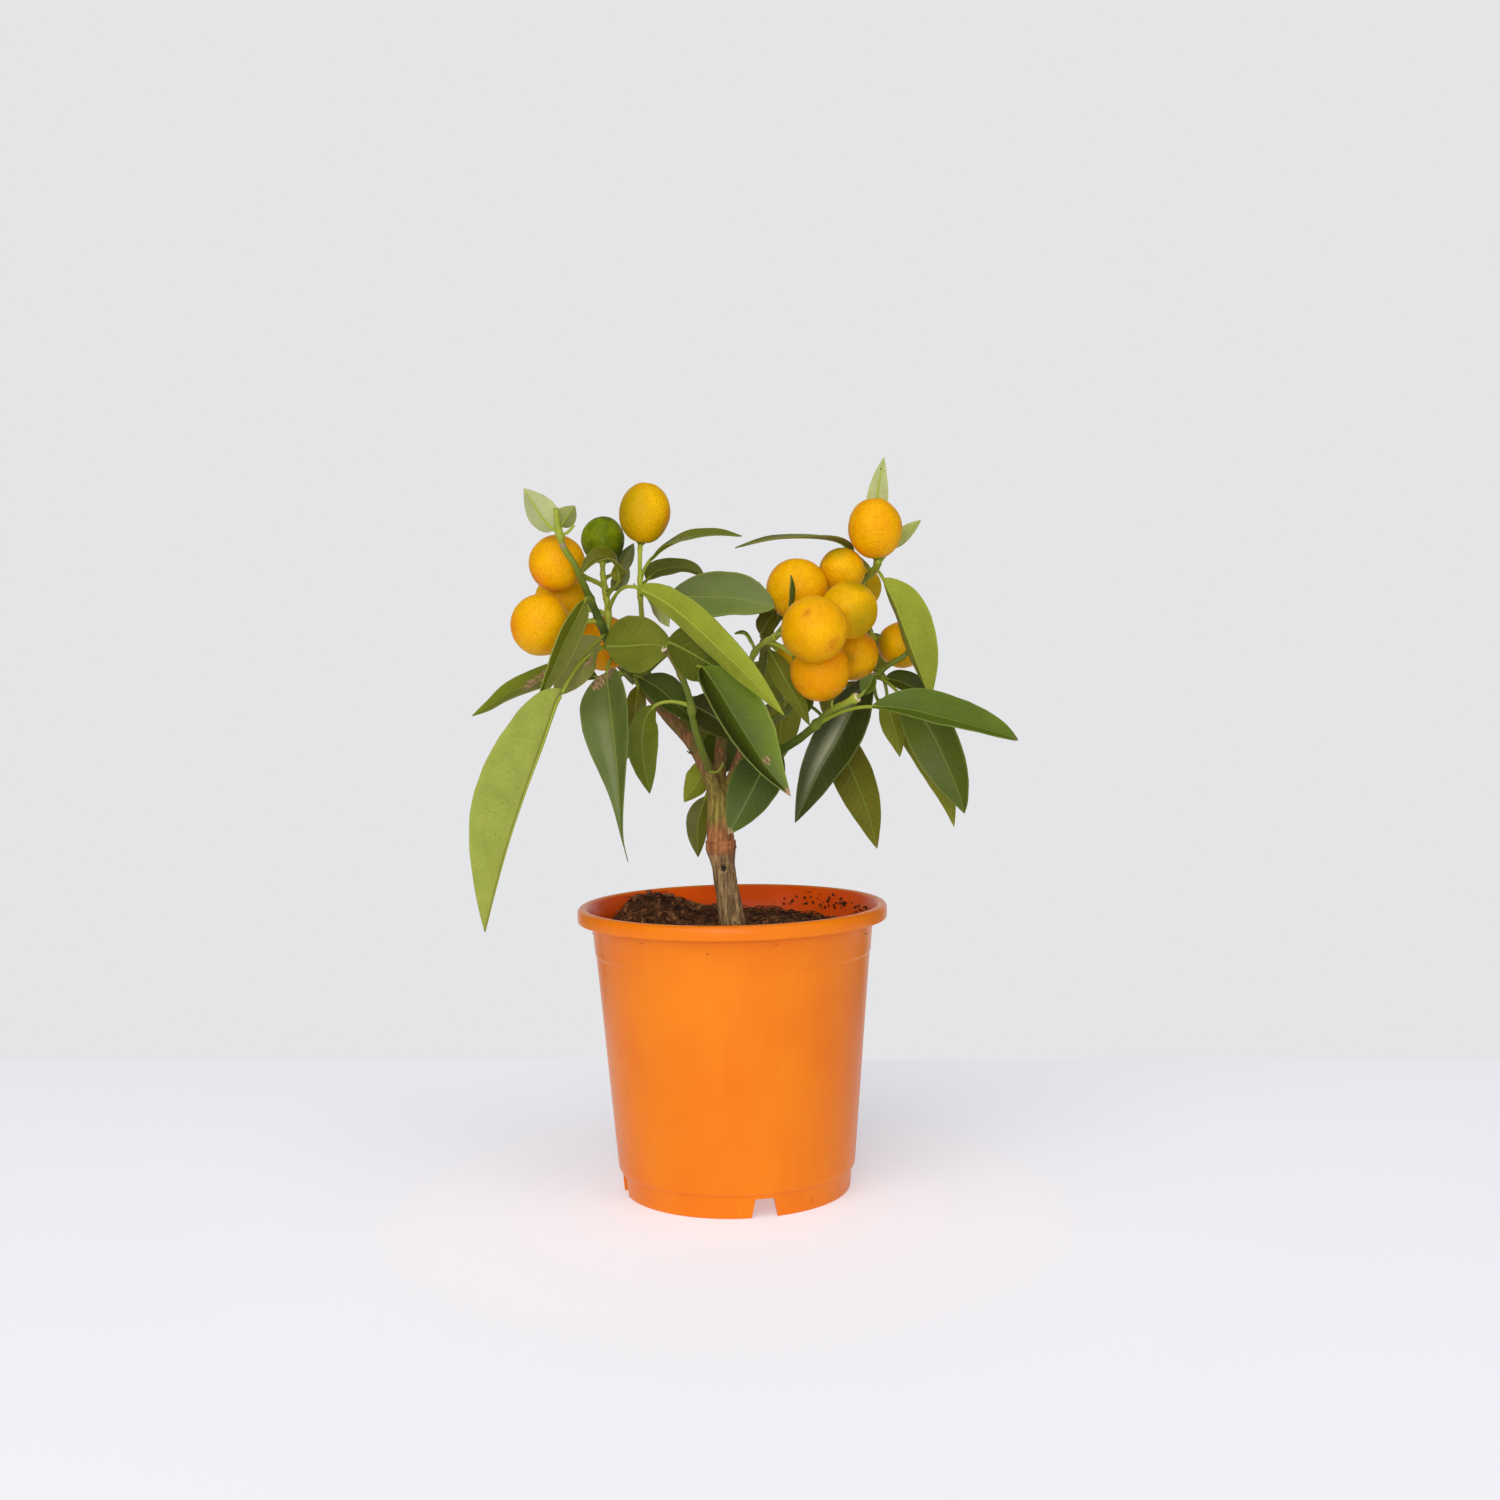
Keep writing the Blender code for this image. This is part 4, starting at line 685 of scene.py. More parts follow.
def bladeHalf(share, tip):
    # the share of its greatest half width that a blade has here
    peak = 0.72 / (0.72 + tip)
    return share**0.72 * (1 - share) ** tip / (peak**0.72 * (1 - peak) ** tip)


def growBlade(work, label, shape, looks):
    # a folded and waved blade; it hands back its spine, the line of its rib, and where it heads first
    s = bladeSettings
    route = smooth([spot(*point) for point in shape["path"]], 6)
    reach, count = lengths(route)[-1], s["rows"]
    first, second = placesAlong(route, [0.0, 1.0 / (min(s["coarseRows"], 5 + int(reach / 25)) - 1)])
    shares = [0.5 * i / count + 0.5 * (0.5 - 0.5 * math.cos(math.pi * i / count)) for i in range(count + 1)]
    spine = placesAlong(route, shares)
    face, fold = Vector(shape["face"]).normalized(), math.radians(shape["fold"])
    phase = len(label) * 1.7
    seed = Vector((len(label) * 3.1, sum(map(ord, label)) * 0.37, 0.0))
    shine, away = looks["shine"]
    outs = [step / s["columns"] for step in range(-s["columns"], s["columns"] + 1)]
    rows, ribLine = [], []

    def marked(kind, share, out, half):
        return max([0.0] + [1 - (Vector(((share - a) * reach, (out - b) * half)).length / r) ** 2
                            for a, b, r in looks[kind]])

    for index, (share, point) in enumerate(zip(shares, spine)):
        along = (spine[min(index + 1, count)] - spine[max(index - 1, 0)]).normalized()
        side = along.cross(face).normalized()
        upper = side.cross(along).normalized()
        half = shape["width"] / 2 * bladeHalf(share, shape["tip"]) if 0 < index < count else 0.0
        ribLine.append(point - upper * 0.3)
        rows.append([])
        for out in outs if half else [0.0]:
            sign = -1 if out < 0 else 1
            wave = 0.05 * half * math.sin(9 * share + phase + sign)
            lift = half * math.sin(fold) * abs(out) ** 1.2 + wave * out * out
            vein = (share * reach - abs(out) * half * 0.95) * math.tau / leafSettings["veinGap"]
            lift += s["pucker"] * math.sin(vein) * abs(out) * (1 - abs(out)) * 4 * min(half / 6, 1)
            lift += 0.35 * noise.noise(point * 0.07 + side * (out * half * 0.07) + seed) * abs(out)
            across = out * half * math.cos(fold)
            across += 0.04 * half * noise.noise(Vector((share * 11, sign * 5.0, 0)) + seed) * abs(out) ** 3
            # lean is painted shade: it darkens one half of the blade against the other across the midrib
            tone = min(max(looks["tone"] + looks["lean"] * out + looks["run"] * (share - 0.5), 0), 1)
            # a painted highlight: a pale streak along the blade at shine's place across, laid in with the
            # pale grey
            glow = shine * math.exp(-((out - away) / 0.16) ** 2) * math.sin(math.pi * share) ** 2
            worn, dark = (marked(kind, share, out, half) for kind in ("patches", "spots"))
            rows[-1].append(vertAt(
                work, point + side * across + upper * lift, place=(out * half, share * reach, share),
                look=(tone, looks["warmth"], abs(out)), wear=(worn, dark, looks["pale"] + glow),
                trim=(looks["margin"], looks["rib"], looks["seam"])))
    stitch(work, rows, closed=False)
    return spine, ribLine, (second - first).normalized()


def rootPoint(plan, root):
    # where a stalk leaves its twig, and the way the twig runs there
    points = [spot(*point) for point in plan["twigs"][root[0]]["points"]]
    first = min(int(root[1]), len(points) - 2)
    along = points[first + 1] - points[first]
    return points[first] + along * (root[1] - first), along.normalized()


def fruitAxis(plan, shape):
    start, along = rootPoint(plan, shape["root"])
    centre = spot(*shape["centre"])
    axis = Vector(shape["axis"]) if shape["axis"] else centre - start
    return axis.normalized(), centre, start, along


def fade(steps, share):
    # the value part of the way through a row of values
    place = share * (len(steps) - 1)
    first = min(int(place), max(len(steps) - 2, 0))
    low, high = steps[first], steps[min(first + 1, len(steps) - 1)]
    return [a + (b - a) * (place - first) for a, b in zip(low, high)]


def growTwig(work, plan, index):
    # it swells where stalks leave it, and bears its scars and cut end
    s, shape = stalkSettings, plan["twigs"][index]
    line = smooth([spot(*point) for point in shape["points"]], 10)
    reach = lengths(line)
    roots = [grown["root"] for grown in [*plan["leaves"].values(), *plan["fruit"].values()]]
    nodes = [rootPoint(plan, root)[0] for root in roots if root[0] == index]
    thick, thin = shape["thick"], shape["thin"]
    radii, looks, wears = [], [], []
    for point, far in zip(line, reach):
        share = far / reach[-1]
        swell = max([0.0] + [math.exp(-((point - node).length / s["swellReach"]) ** 2) for node in nodes])
        radii.append((thick + (thin - thick) * share) * (0.94 + s["swell"] * swell))
        tone, warmth = fade(shape["looks"], share)
        looks.append((min(tone + 0.12 * swell, 1.0), warmth + 0.1 * swell, 0))
        marks = dict(cut=0.0, scar=0.0)
        for twigIndex, at, size, kind in plan["marks"]:
            if twigIndex == index:
                marks[kind] = max(marks[kind], 1 - abs(at - share) * reach[-1] / size)
        wears.append((marks["cut"], marks["scar"], 0))
    growRod(work, line, radii, 12, looks, wears, rough=0.14)


def growShoot(name, plan):
    # blades get their thickness first, then stalks, twigs and fruit stalks join the same mesh
    s, work, grown = stalkSettings, newWork(), []
    for label, shape in plan["leaves"].items():
        hidden = dict(tone=0.15 + 0.05 * (sum(map(ord, name + label)) % 7), warmth=0.15)
        looks = {**plainBlade, **(shape["looks"] or hidden)}
        grown.append((shape, 0.3 + 0.6 * looks["tone"], *growBlade(work, name + label, shape, looks)))
    blades = finishMesh(work, name + "_blades", leafMaterials)
    shell = blades.modifiers.new("thickness", "SOLIDIFY")
    shell.thickness, shell.offset = bladeSettings["thickness"] * mm, 0.0
    shell.material_offset, shell.material_offset_rim = 1, 0
    settle(blades)
    work = bmesh.new()
    work.from_mesh(blades.data)
    bpy.data.objects.remove(blades)
    for shape, tone, spine, ribLine, heading in grown:
        start, along = rootPoint(plan, shape["root"])
        leaving = ((spine[0] - start).normalized() + along * 0.6).normalized()
        line = bow(start, leaving, spine[0] + heading * 2, heading, 8)
        radii = [s["radius"] * (1.3 - 0.45 * min(i / 3, 1)) for i in range(9)]
        growRod(work, line, radii, s["sides"], (tone, 0.05, 0))
        kept = ribLine[2:-2]
        radii = [s["radius"] * 0.8 * (1 - 0.85 * i / (len(kept) - 1)) for i in range(len(kept))]
        growRod(work, kept, radii, 6, (tone, 0.0, 0))
    for index in range(len(plan["twigs"])):
        growTwig(work, plan, index)
    for points, thick, thin, tone, warmth in plan["spurs"]:
        line = smooth([spot(*point) for point in points], 5)
        radii = [thick + (thin - thick) * i / (len(line) - 1) for i in range(len(line))]
        growRod(work, line, radii, 8, (tone, warmth, 0))
    for shape in plan["fruit"].values():
        axis, centre, start, along = fruitAxis(plan, shape)
        end = centre - axis * (shape["half"] + 0.3)
        leaving = ((end - start).normalized() + along * 0.4).normalized()
        radii = [1.25, 1.1, 1, 1.08, 0.98, 1.05, 1.15, 1.3, 1.55]  # it widens into the calyx
        growRod(work, bow(start, leaving, end, axis, 8), radii, 10, (s["fruitTone"], 0.05, 0), rough=0.2)
    keep(finishMesh(work, name + "_foliage", leafMaterials, sharp=50), "foliage", name)


for shootName, plan in shootPlans.items():
    growShoot(shootName, plan)
print("shoots:", len(shootPlans))

# Fruit
fruitSettings = dict(around=44, rows=30, lump=0.018, calyxReach=3.0, sepals=5)


def peelMaterial(name, unripe):
    m = Finish(name, 0.09)
    ripe, green, blush = m.read("look")
    brown = m.read("wear")[0]
    blotch = m.cloud(110.0)
    if unripe:
        m.colour = m.mix(blotch.ease(0.3, 0.75), tint(74, 96, 0), tint(134, 148, 14))
    else:
        m.colour = m.mix(ripe, tint(222, 176, 0), tint(240, 150, 0))
        m.coat(blotch.ease(0.35, 0.7) * 0.35, tint(252, 198, 0))
        uneven = blotch * 1.2 + 0.2
        m.coat(green * uneven * 0.7, tint(124, 118, 0))
        m.coat(blush * uneven * 0.5, tint(240, 112, 4))
        m.coat((brown * (m.cloud(700.0, 4.0) * 1.7)).ease(0.25, 1.1, 0.6), tint(190, 104, 20))
    pits = m.cells(1150.0).ease(0.42, 0.1)
    m.coat(pits * 0.12, tint(40, 60, 0) if unripe else tint(214, 110, 0))
    m.coat(m.cells(240.0).ease(0.13, 0.06) * 0.3, tint(150, 86, 20))
    return m.done(blotch * 0.2 + 0.3, pits * -1.0 + m.cloud(320.0), 0.6, 0.0003)


ripePeel, greenPeel = peelMaterial("ripePeel", False), peelMaterial("greenPeel", True)


def growFruit(name, plan, shape):
    s = fruitSettings
    axis, centre = fruitAxis(plan, shape)[:2]
    turn = axis.to_track_quat("Z", "Y").to_matrix()
    work, rings = newWork(), []
    seed = Vector((sum(map(ord, name)) * 1.3, 0, 0))
    for row in range(s["rows"] + 1):
        polar = math.pi * row / s["rows"]
        rings.append([])
        for step in range(s["around"] if 0 < row < s["rows"] else 1):
            angle = math.tau * step / s["around"]
            flat = math.sin(polar)
            way = Vector((flat * math.cos(angle), flat * math.sin(angle), -math.cos(polar)))
            grow = 1 + s["lump"] * noise.noise(way * 1.6 + seed) + 0.006 * noise.noise(way * 5 + seed)
            point = Vector((way.x * shape["radius"], way.y * shape["radius"], way.z * shape["half"])) * grow
            point.z += 0.5 * math.exp(-(polar / 0.2) ** 2)  # the hollow at the stalk
            point.z -= 0.35 * math.exp(-((math.pi - polar) / 0.16) ** 2)  # the flat end
            marks = dict(green=0.0, blush=0.0, brown=0.0)
            for direction, reach, kind in shape["spots"]:
                apart = (turn @ way).angle(Vector(direction).normalized())
                marks[kind] = max(marks[kind], 1 - min(apart / reach, 1) ** 2)
            green = max(marks["green"], 0.35 * math.exp(-(polar / 0.35) ** 2))
            brown = max(marks["brown"], 0.8 * math.exp(-((math.pi - polar) / 0.07) ** 2))
            rings[-1].append(vertAt(work, centre + turn @ point, place=(angle, polar, 0),
                                    look=(shape["ripe"], green, marks["blush"]), wear=(brown, 0, 0)))
    stitch(work, rings)
    growCalyx(work, centre - axis * (shape["half"] - 0.55), turn, shape["radius"])
    unripe = name == "fruit_02"
    piece = finishMesh(work, name + "_peel", [greenPeel if unripe else ripePeel, youngWood])
    keep(piece, "unripe_fruit" if unripe else "fruit", name)


def growCalyx(work, base, turn, radius):
    # the small five-pointed cup between stalk and peel
    s, rings = fruitSettings, []
    count = s["sepals"] * 4
    for reach, lift in ((0.15, -1.0), (0.5, -0.85), (0.8, -0.35), (1.0, -0.05), (0.8, 0.35), (0.3, 0.4)):
        rings.append([])
        for step in range(count):
            lobe = 0.78 + 0.22 * math.cos(math.tau * step * s["sepals"] / count)
            out = s["calyxReach"] * reach * (lobe if reach > 0.4 else 0.8)
            angle = math.tau * step / count
            local = Vector((out * math.cos(angle), out * math.sin(angle), lift + out * out / (2 * radius)))
            rings[-1].append(vertAt(work, base + turn @ local, look=(0.55, 0.15, 0)))
    stitch(work, rings, slotIndex=1)
    for ring in (rings[0][::-1], rings[-1]):
        work.faces.new(ring).material_index = 1


for plan in shootPlans.values():
    for fruitName, shape in plan["fruit"].items():
        growFruit(fruitName, plan, shape)
print("fruit:", sum(len(plan["fruit"]) for plan in shootPlans.values()))

# Trunk: rods melted together, then given bark
trunkSettings = dict(voxel=0.55, sides=24, ridges=0.28, knot=(-3.2, -4.9, 135.5), knotReach=1.7)


def barkMaterial():
    # below the graft grey, on it red, above it green, and brown on the branches
    m = Finish("bark")
    height, knot, young = m.read("look")
    streak = m.cloud(700.0, 5.0, 0.65, (1.0, 1.0, 0.13))
    patchy = m.cloud(160.0, 4.0, 0.6)
    crack = m.cloud(260.0, 5.0, 0.7, (1.0, 1.0, 3.2))
    m.colour = m.mix(streak.ease(0.35, 0.68), tint(92, 66, 38), tint(196, 158, 106))
    m.coat(patchy.ease(0.45, 0.7, 0.6), tint(134, 114, 66))
    red = m.mix(streak.ease(0.35, 0.7), tint(130, 76, 38), tint(206, 136, 80))
    green = m.mix(streak.ease(0.35, 0.7), tint(102, 88, 26), tint(172, 148, 66))
    brown = m.mix(streak.ease(0.3, 0.7), tint(104, 66, 40), tint(172, 116, 70))
    brown = m.mix(patchy.ease(0.42, 0.6, 0.8), brown, tint(110, 104, 40))
    wobble = height + (patchy - 0.5) * 9.0
    m.coat(wobble.ease(139.0, 143.0), red)
    m.coat(wobble.ease(151.0, 157.0), green)
    m.coat(young.ease(0.2, 0.9), brown)
    m.coat(crack.ease(0.6, 0.72, 0.4), tint(74, 52, 32))
    m.coat(knot.ease(0.2, 0.7), tint(34, 26, 18))
    return m.done(0.8, streak + crack * -0.5, 0.9, 0.0006)


def growTrunk():
    s, work = trunkSettings, newWork()
    for branch in trunkLines:
        radii = []
        for low, high in zip(branch, branch[1:]):
            radii += [low[3] + (high[3] - low[3]) * i / 5 for i in range(5)]
        line = smooth([spot(*point[:3]) for point in branch], 5)
        growRod(work, line, radii + [branch[-1][3]], s["sides"], slotIndex=0)
    piece = finishMesh(work, "trunk_bark", [barkMaterial()])
    melt = piece.modifiers.new("melt", "REMESH")
    melt.mode, melt.voxel_size = "VOXEL", s["voxel"] * mm
    soften = piece.modifiers.new("soften", "SMOOTH")
    soften.factor, soften.iterations = 0.5, 4
    settle(piece)
    mesh = piece.data
    mesh.update()
    look = mesh.attributes.new("look", "FLOAT_VECTOR", "POINT")
    normals = [vert.normal.copy() for vert in mesh.vertices]
    for vert, normal in zip(mesh.vertices, normals):
        point = vert.co / mm
        streak = noise.fractal(Vector((point.x * 0.9, point.y * 0.9, point.z * 0.11)), 1.0, 2.0, 4)
        push = s["ridges"] * streak
        push += 0.12 * noise.noise(Vector((point.x * 0.25, point.y * 0.25, point.z * 0.8)))
        away = math.hypot(point.x - spot(-4.0, 0, point.z).x, point.y)
        if point.z >= 158:  # branches are smoother than the stem
            push *= 0.35 + 0.65 * max(0.0, 1 - (point.z - 158) / 8)
        if 140 < point.z < 149 and away < 9:  # the graft's lipped collar
            push += 0.35 * math.exp(-((point.z - 146.3) / 0.5) ** 2)
            push -= 0.3 * math.exp(-((point.z - 147.6) / 0.5) ** 2)
        reach = (point - Vector(s["knot"])).length / s["knotReach"]
        knot = max(0.0, 1 - reach * reach)
        push += 0.45 * math.exp(-((reach - 1.25) / 0.35) ** 2) - 0.9 * knot
        vert.co += normal * (push * mm)
        young = min(max((point.z - 170) / 10, 0.0), 1.0)
        look.data[vert.index].vector = (point.z, knot, young)
    for face in mesh.polygons:
        face.use_smooth = True
    keep(piece, "bark", "trunk")


growTrunk()
print("trunk made")

# Pot, with its sizes in mm
potSettings = dict(
    rimRadius=65.0, height=120.2, lipDrop=6.0, lipThick=1.4, wall=1.3, neckRadius=59.1,
    collarBottom=100.0, collarStep=0.4, footTop=9.2, wallFootRadius=49.9, footRadius=47.85, footThick=1.9,
    plateBottom=8.4, plateTop=9.8, notchTurn=13.7, notchTop=8.0, notchBottom=11.2, notchHeight=7.9,
    drainRing=33.0, drainRadius=4.2, around=192,
)


def wallRadius(height):
    s = potSettings
    top = s["neckRadius"] - (0.0 if height > s["collarBottom"] else s["collarStep"])
    share = (height - s["footTop"]) / (s["height"] - s["lipDrop"] - s["footTop"])
    return s["wallFootRadius"] + (top - s["wallFootRadius"]) * share


def potProfile():
    # from the middle of the floor up the inside, over the lip and down to the foot
    s = potSettings
    top, rim, foot, wall = s["height"], s["rimRadius"], s["footRadius"], s["wall"]
    neck, collar, step, plate = s["neckRadius"], s["collarBottom"], s["footTop"], s["plateTop"]
    skirt, inner, lip = top - s["lipDrop"], foot - s["footThick"], rim - s["lipThick"]
    return [
        (0.0, plate), (wallRadius(plate) - wall - 1.6, plate), (wallRadius(12) - wall - 0.45, plate + 0.45),
        (wallRadius(12.0) - wall, 11.6),
        *((wallRadius(h) - wall, h) for h in (30, 50, 70, 90, collar - 0.5)),
        (wallRadius(collar + 1) - wall, collar + 0.6), (neck - wall, skirt - 1.4),
        (neck - wall + 0.5, skirt - 0.3), (rim - 4.9, top - 2.3), (rim - 4.3, top - 1.3),
        (rim - 3.7, top - 0.55), (rim - 3.0, top - 0.12), (rim - 2.2, top), (rim - 1.4, top - 0.12),
        (rim - 0.7, top - 0.5), (rim - 0.25, top - 1.1), (rim, top - 1.9), (rim, skirt + 0.6),
        (rim - 0.15, skirt + 0.2), (rim - 0.5, skirt), (rim - 1.1, skirt), (lip, skirt + 0.3),
        (lip, top - 3.1), (rim - 2.0, top - 2.6), (rim - 3.6, top - 2.5), (rim - 4.4, top - 3.2),
        (neck, skirt - 0.2), *((wallRadius(collar + h), collar + h) for h in (1.4, 0.7)),
        (wallRadius(collar) + 0.05, collar + 0.1), (wallRadius(collar), collar - 0.5),
        *((wallRadius(h), h) for h in (80, 60, 40, 25, step + 3.0, step + 1.5)),
        (wallRadius(step) - 0.15, step + 0.75), (foot + 1.5, step + 0.35), (foot + 0.95, step + 0.05),
        (foot + 0.72, step - 0.5), (foot + 0.1, 1.2), (foot - 0.05, 0.35), (foot - 0.3, 0.05),
        (foot - 0.6, 0.0), (inner + 0.3, 0.0), (inner, 0.3), (inner - 0.4, s["plateBottom"]),
        (0.0, s["plateBottom"]),
    ]


def plasticMaterial(name, pale, middle, deep, inner=False):
    m = Finish(name, 0.2)
    flow = m.cloud(60.0, 3.0, 0.5, (1.0, 1.0, 0.2))
    side, height = m.split(m.place)[::2]
    m.colour = m.mix(m.cloud(22.0).ease(0.3, 0.7), pale, middle)
    m.coat(flow.ease(0.4, 0.75, 0.35), deep)
    dirty = height.ease(0.012, 0.0, 0.5) + 0.06
    if inner:
        # peat dust clings above the soil, more of it on the right
        dirty = dirty + height.ease(0.119, 0.110) * side.ease(-0.03, 0.03)
    m.coat(m.cloud(320.0, 4.0, 0.7).ease(0.62, 0.72) * dirty, tint(110, 60, 30))
    return m.done(flow * 0.16 + 0.22, m.cloud(1400.0, 2.0) * 0.3 + flow * 3.0, 0.25, 0.00012)


def addCutter(cutters, work):
    mesh = bpy.data.meshes.new("cutter")
    work.to_mesh(mesh)
    work.free()
    cutters.objects.link(bpy.data.objects.new("cutter", mesh))


def makePot():
    s = potSettings
    work = bmesh.new()
    stitch(work, [ringAt(work, radius, height, s["around"]) for radius, height in potProfile()], flip=True)
    bmesh.ops.recalc_face_normals(work, faces=work.faces)
    pot = finishMesh(work, "pot_shell", [
        plasticMaterial("potOutside", tint(231, 118, 6), tint(237, 128, 10), tint(225, 106, 4)),
        # the inside takes a copy of the plastic in deeper red, painted shade of the inside wall; above the
        # soil it also bears peat dust
        plasticMaterial("potInsideShaded", tint(232, 82, 4), tint(236, 92, 6), tint(222, 70, 2), True)])
    cutters = bpy.data.collections.new("potCutters")
    for index in range(4):
        work = bmesh.new()
        bmesh.ops.create_cube(work, size=1.0)
        for vert in work.verts:
            low = vert.co.z < 0
            vert.co = ((s["footRadius"] + (6 if vert.co.x > 0 else -5)) * mm,
                       math.copysign((s["notchBottom"] if low else s["notchTop"]) / 2, vert.co.y) * mm,
                       (-1.0 if low else s["notchHeight"]) * mm)
        turn = Matrix.Rotation(math.radians(90 * index - 90 + s["notchTurn"]), 4, "Z")
        bmesh.ops.transform(work, matrix=turn, verts=work.verts)
        addCutter(cutters, work)
    for index in range(9):
        turn, reach = math.tau * index / 8, 0.0 if index == 8 else s["drainRing"]
        radius = s["drainRadius"] * mm
        work = bmesh.new()
        bmesh.ops.create_cone(work, cap_ends=True, segments=40, radius1=radius, radius2=radius, depth=6 * mm)
        place = (reach * math.cos(turn) * mm, reach * math.sin(turn) * mm, 9 * mm)
        bmesh.ops.translate(work, verts=work.verts, vec=place)
        addCutter(cutters, work)
    cut = pot.modifiers.new("openings", "BOOLEAN")
    cut.operand_type, cut.collection, cut.solver = "COLLECTION", cutters, "EXACT"
    settle(pot)
    for cutter in list(cutters.objects):
        bpy.data.objects.remove(cutter)
    bpy.data.collections.remove(cutters)
    for face in pot.data.polygons:
        face.use_smooth = True
        x, y, z = face.center / mm
        # inward faces take the deeper red copy, the painted shade of the inside
        inward = face.normal.x * x + face.normal.y * y < 0 and s["footTop"] + 0.4 < z < s["height"] - 0.7
        face.material_index = 1 if inward and math.hypot(x, y) < s["rimRadius"] - 2.9 else 0
    pot.data.set_sharp_from_angle(angle=math.radians(38))
    keep(pot, "pot", "pot")


makePot()
print("pot made")

# Soil, with crumbs, chips and fibres strewn over it
soilSettings = dict(
    level=109.6, bed=10.1, mound=(-37.0, 31.0, 10.5, 16.0), leftDip=(-46.5, 4.0, 1.8),
    rings=58, around=150, lump=1.5,
    soil_crumbs=dict(Density=420000.0, Small=0.00035, Large=0.0014, Seed=4),  # sizes in metres
    soil_chips=dict(Density=30000.0, Small=0.0009, Large=0.0024, Seed=8),
    soil_fibres=dict(Density=34000.0, Small=0.004, Large=0.014, Thickness=0.00021, Seed=11),
    wall_crumbs=dict(Density=110000.0, Small=0.00022, Large=0.0009, Seed=21),
)


def soilHeight(across, back):
    s = soilSettings
    x, y, rise, spread = s["mound"]
    heap = rise * math.exp(-((across - x) ** 2 + (back - y) ** 2) / (2 * spread**2))
    edge, drop, soft = s["leftDip"]
    dip = -1.8 / (1 + math.exp((24 - across) / 5)) - drop / (1 + math.exp((across - edge) / soft))
    return s["level"] + heap + dip + 0.5 * math.sin(across * 0.31 + 1.0) * math.cos(back * 0.27)


def peatMaterial(name, dark, light, rough=0.9):
    m = Finish(name, 0.2)
    clump, grain = m.cloud(240.0, 5.0, 0.7), m.cloud(1500.0, 4.0, 0.7)
    m.colour = m.mix(clump.ease(0.35, 0.68), dark, light)
    m.coat(grain.ease(0.55, 0.72, 0.5), tint(138, 92, 60))
    return m.done(rough, clump + grain, 1.0, 0.001)


peat = peatMaterial("peat", tint(50, 27, 13), tint(108, 66, 38))
crumbPeat = peatMaterial("crumbPeat", tint(44, 24, 12), tint(124, 78, 46))
coir = peatMaterial("coir", tint(88, 50, 26), tint(172, 118, 72), 0.75)


def strewTree(name, fibre):
    # points spread over a surface, a crumb or a fibre on each, made one plain mesh
    tree = bpy.data.node_groups.new(name, "GeometryNodeTree")
    named = {}
    for label, kind in dict(Geometry="Geometry", Density="Float", Small="Float", Large="Float",
                            Thickness="Float", Seed="Int", Material="Material").items():
        made = tree.interface.new_socket(label, in_out="INPUT", socket_type="NodeSocket" + kind)
        named[label] = made.identifier
    tree.interface.new_socket("Geometry", in_out="OUTPUT", socket_type="NodeSocketGeometry")
    given = tree.nodes.new("NodeGroupInput").outputs

    def add(kind, output, inputs, **settings):
        return put(tree, kind, inputs, **settings).outputs[output]

    def anyVector(low, high):
        inputs = {"Min": low, "Max": high, "Seed": given["Seed"]}
        return add("FunctionNodeRandomValue", 0, inputs, data_type="FLOAT_VECTOR")

    points = add("GeometryNodeDistributePointsOnFaces", "Points",
                 {"Mesh": given["Geometry"], "Density": given["Density"], "Seed": given["Seed"]})
    size = add("FunctionNodeRandomValue", 1, {2: given["Small"], 3: given["Large"], "Seed": given["Seed"]},
               data_type="FLOAT")
    if fibre:
        tilt, wildScale, wildPush = 0.45, 420.0, 0.0024
        turn = anyVector((-tilt, -tilt, 0.0), (tilt, tilt, 6.283))
        line = {"Resolution": 7, "Start": (-0.5, 0, 0), "Middle": (0, 0.28, 0.16), "End": (0.5, 0, 0.02)}
        shape = add("GeometryNodeCurveQuadraticBezier", 0, line)
        scale = add("ShaderNodeCombineXYZ", 0, {0: size, 1: size, 2: size})
    else:
        wildScale, wildPush = 900.0, 0.0011
        turn = anyVector((0.0, 0.0, 0.0), (6.283, 6.283, 6.283))
        shape = add("GeometryNodeMeshIcoSphere", 0, {"Radius": 1.0, "Subdivisions": 1})
        squash = anyVector((0.7, 0.6, 0.45), (1.3, 1.1, 0.9))
        scale = add("ShaderNodeVectorMath", 0, {0: squash, 3: size}, operation="SCALE")
    made = add("GeometryNodeInstanceOnPoints", 0,
               {"Points": points, "Instance": shape, "Rotation": turn, "Scale": scale})
    made = add("GeometryNodeRealizeInstances", 0, {0: made})
    wild = add("ShaderNodeTexNoise", 1, {"Scale": wildScale, "Detail": 2.0})
    centred = add("ShaderNodeVectorMath", 0, {0: wild, 1: (0.5, 0.5, 0.5)}, operation="SUBTRACT")
    push = add("ShaderNodeVectorMath", 0, {0: centred, 3: wildPush}, operation="SCALE")
    made = add("GeometryNodeSetPosition", 0, {"Geometry": made, "Offset": push})
    if fibre:
        ring = add("GeometryNodeCurvePrimitiveCircle", 0, {"Resolution": 4, "Radius": given["Thickness"]})
        made = add("GeometryNodeCurveToMesh", 0, {"Curve": made, "Profile Curve": ring, "Fill Caps": True})
        made = add("GeometryNodeRealizeInstances", 0, {0: made})
    made = add("GeometryNodeSetMaterial", 0, {"Geometry": made, "Material": given["Material"]})
    feed(tree.nodes.new("NodeGroupOutput"), {0: made})
    return tree, named


strewCrumbs, strewFibres = strewTree("strewCrumbs", False), strewTree("strewFibres", True)


def strew(name, bed, how, material):
    piece = bpy.data.objects.new(name, bed.data)
    bpy.context.scene.collection.objects.link(piece)
    tree, named = how
    modifier = piece.modifiers.new("strew", "NODES")
    modifier.node_group = tree
    for label, value in dict(Material=material, **soilSettings[name]).items():
        modifier[named[label]] = value
    settle(piece)
    keep(piece, "soil")
    print(name, len(piece.data.polygons))


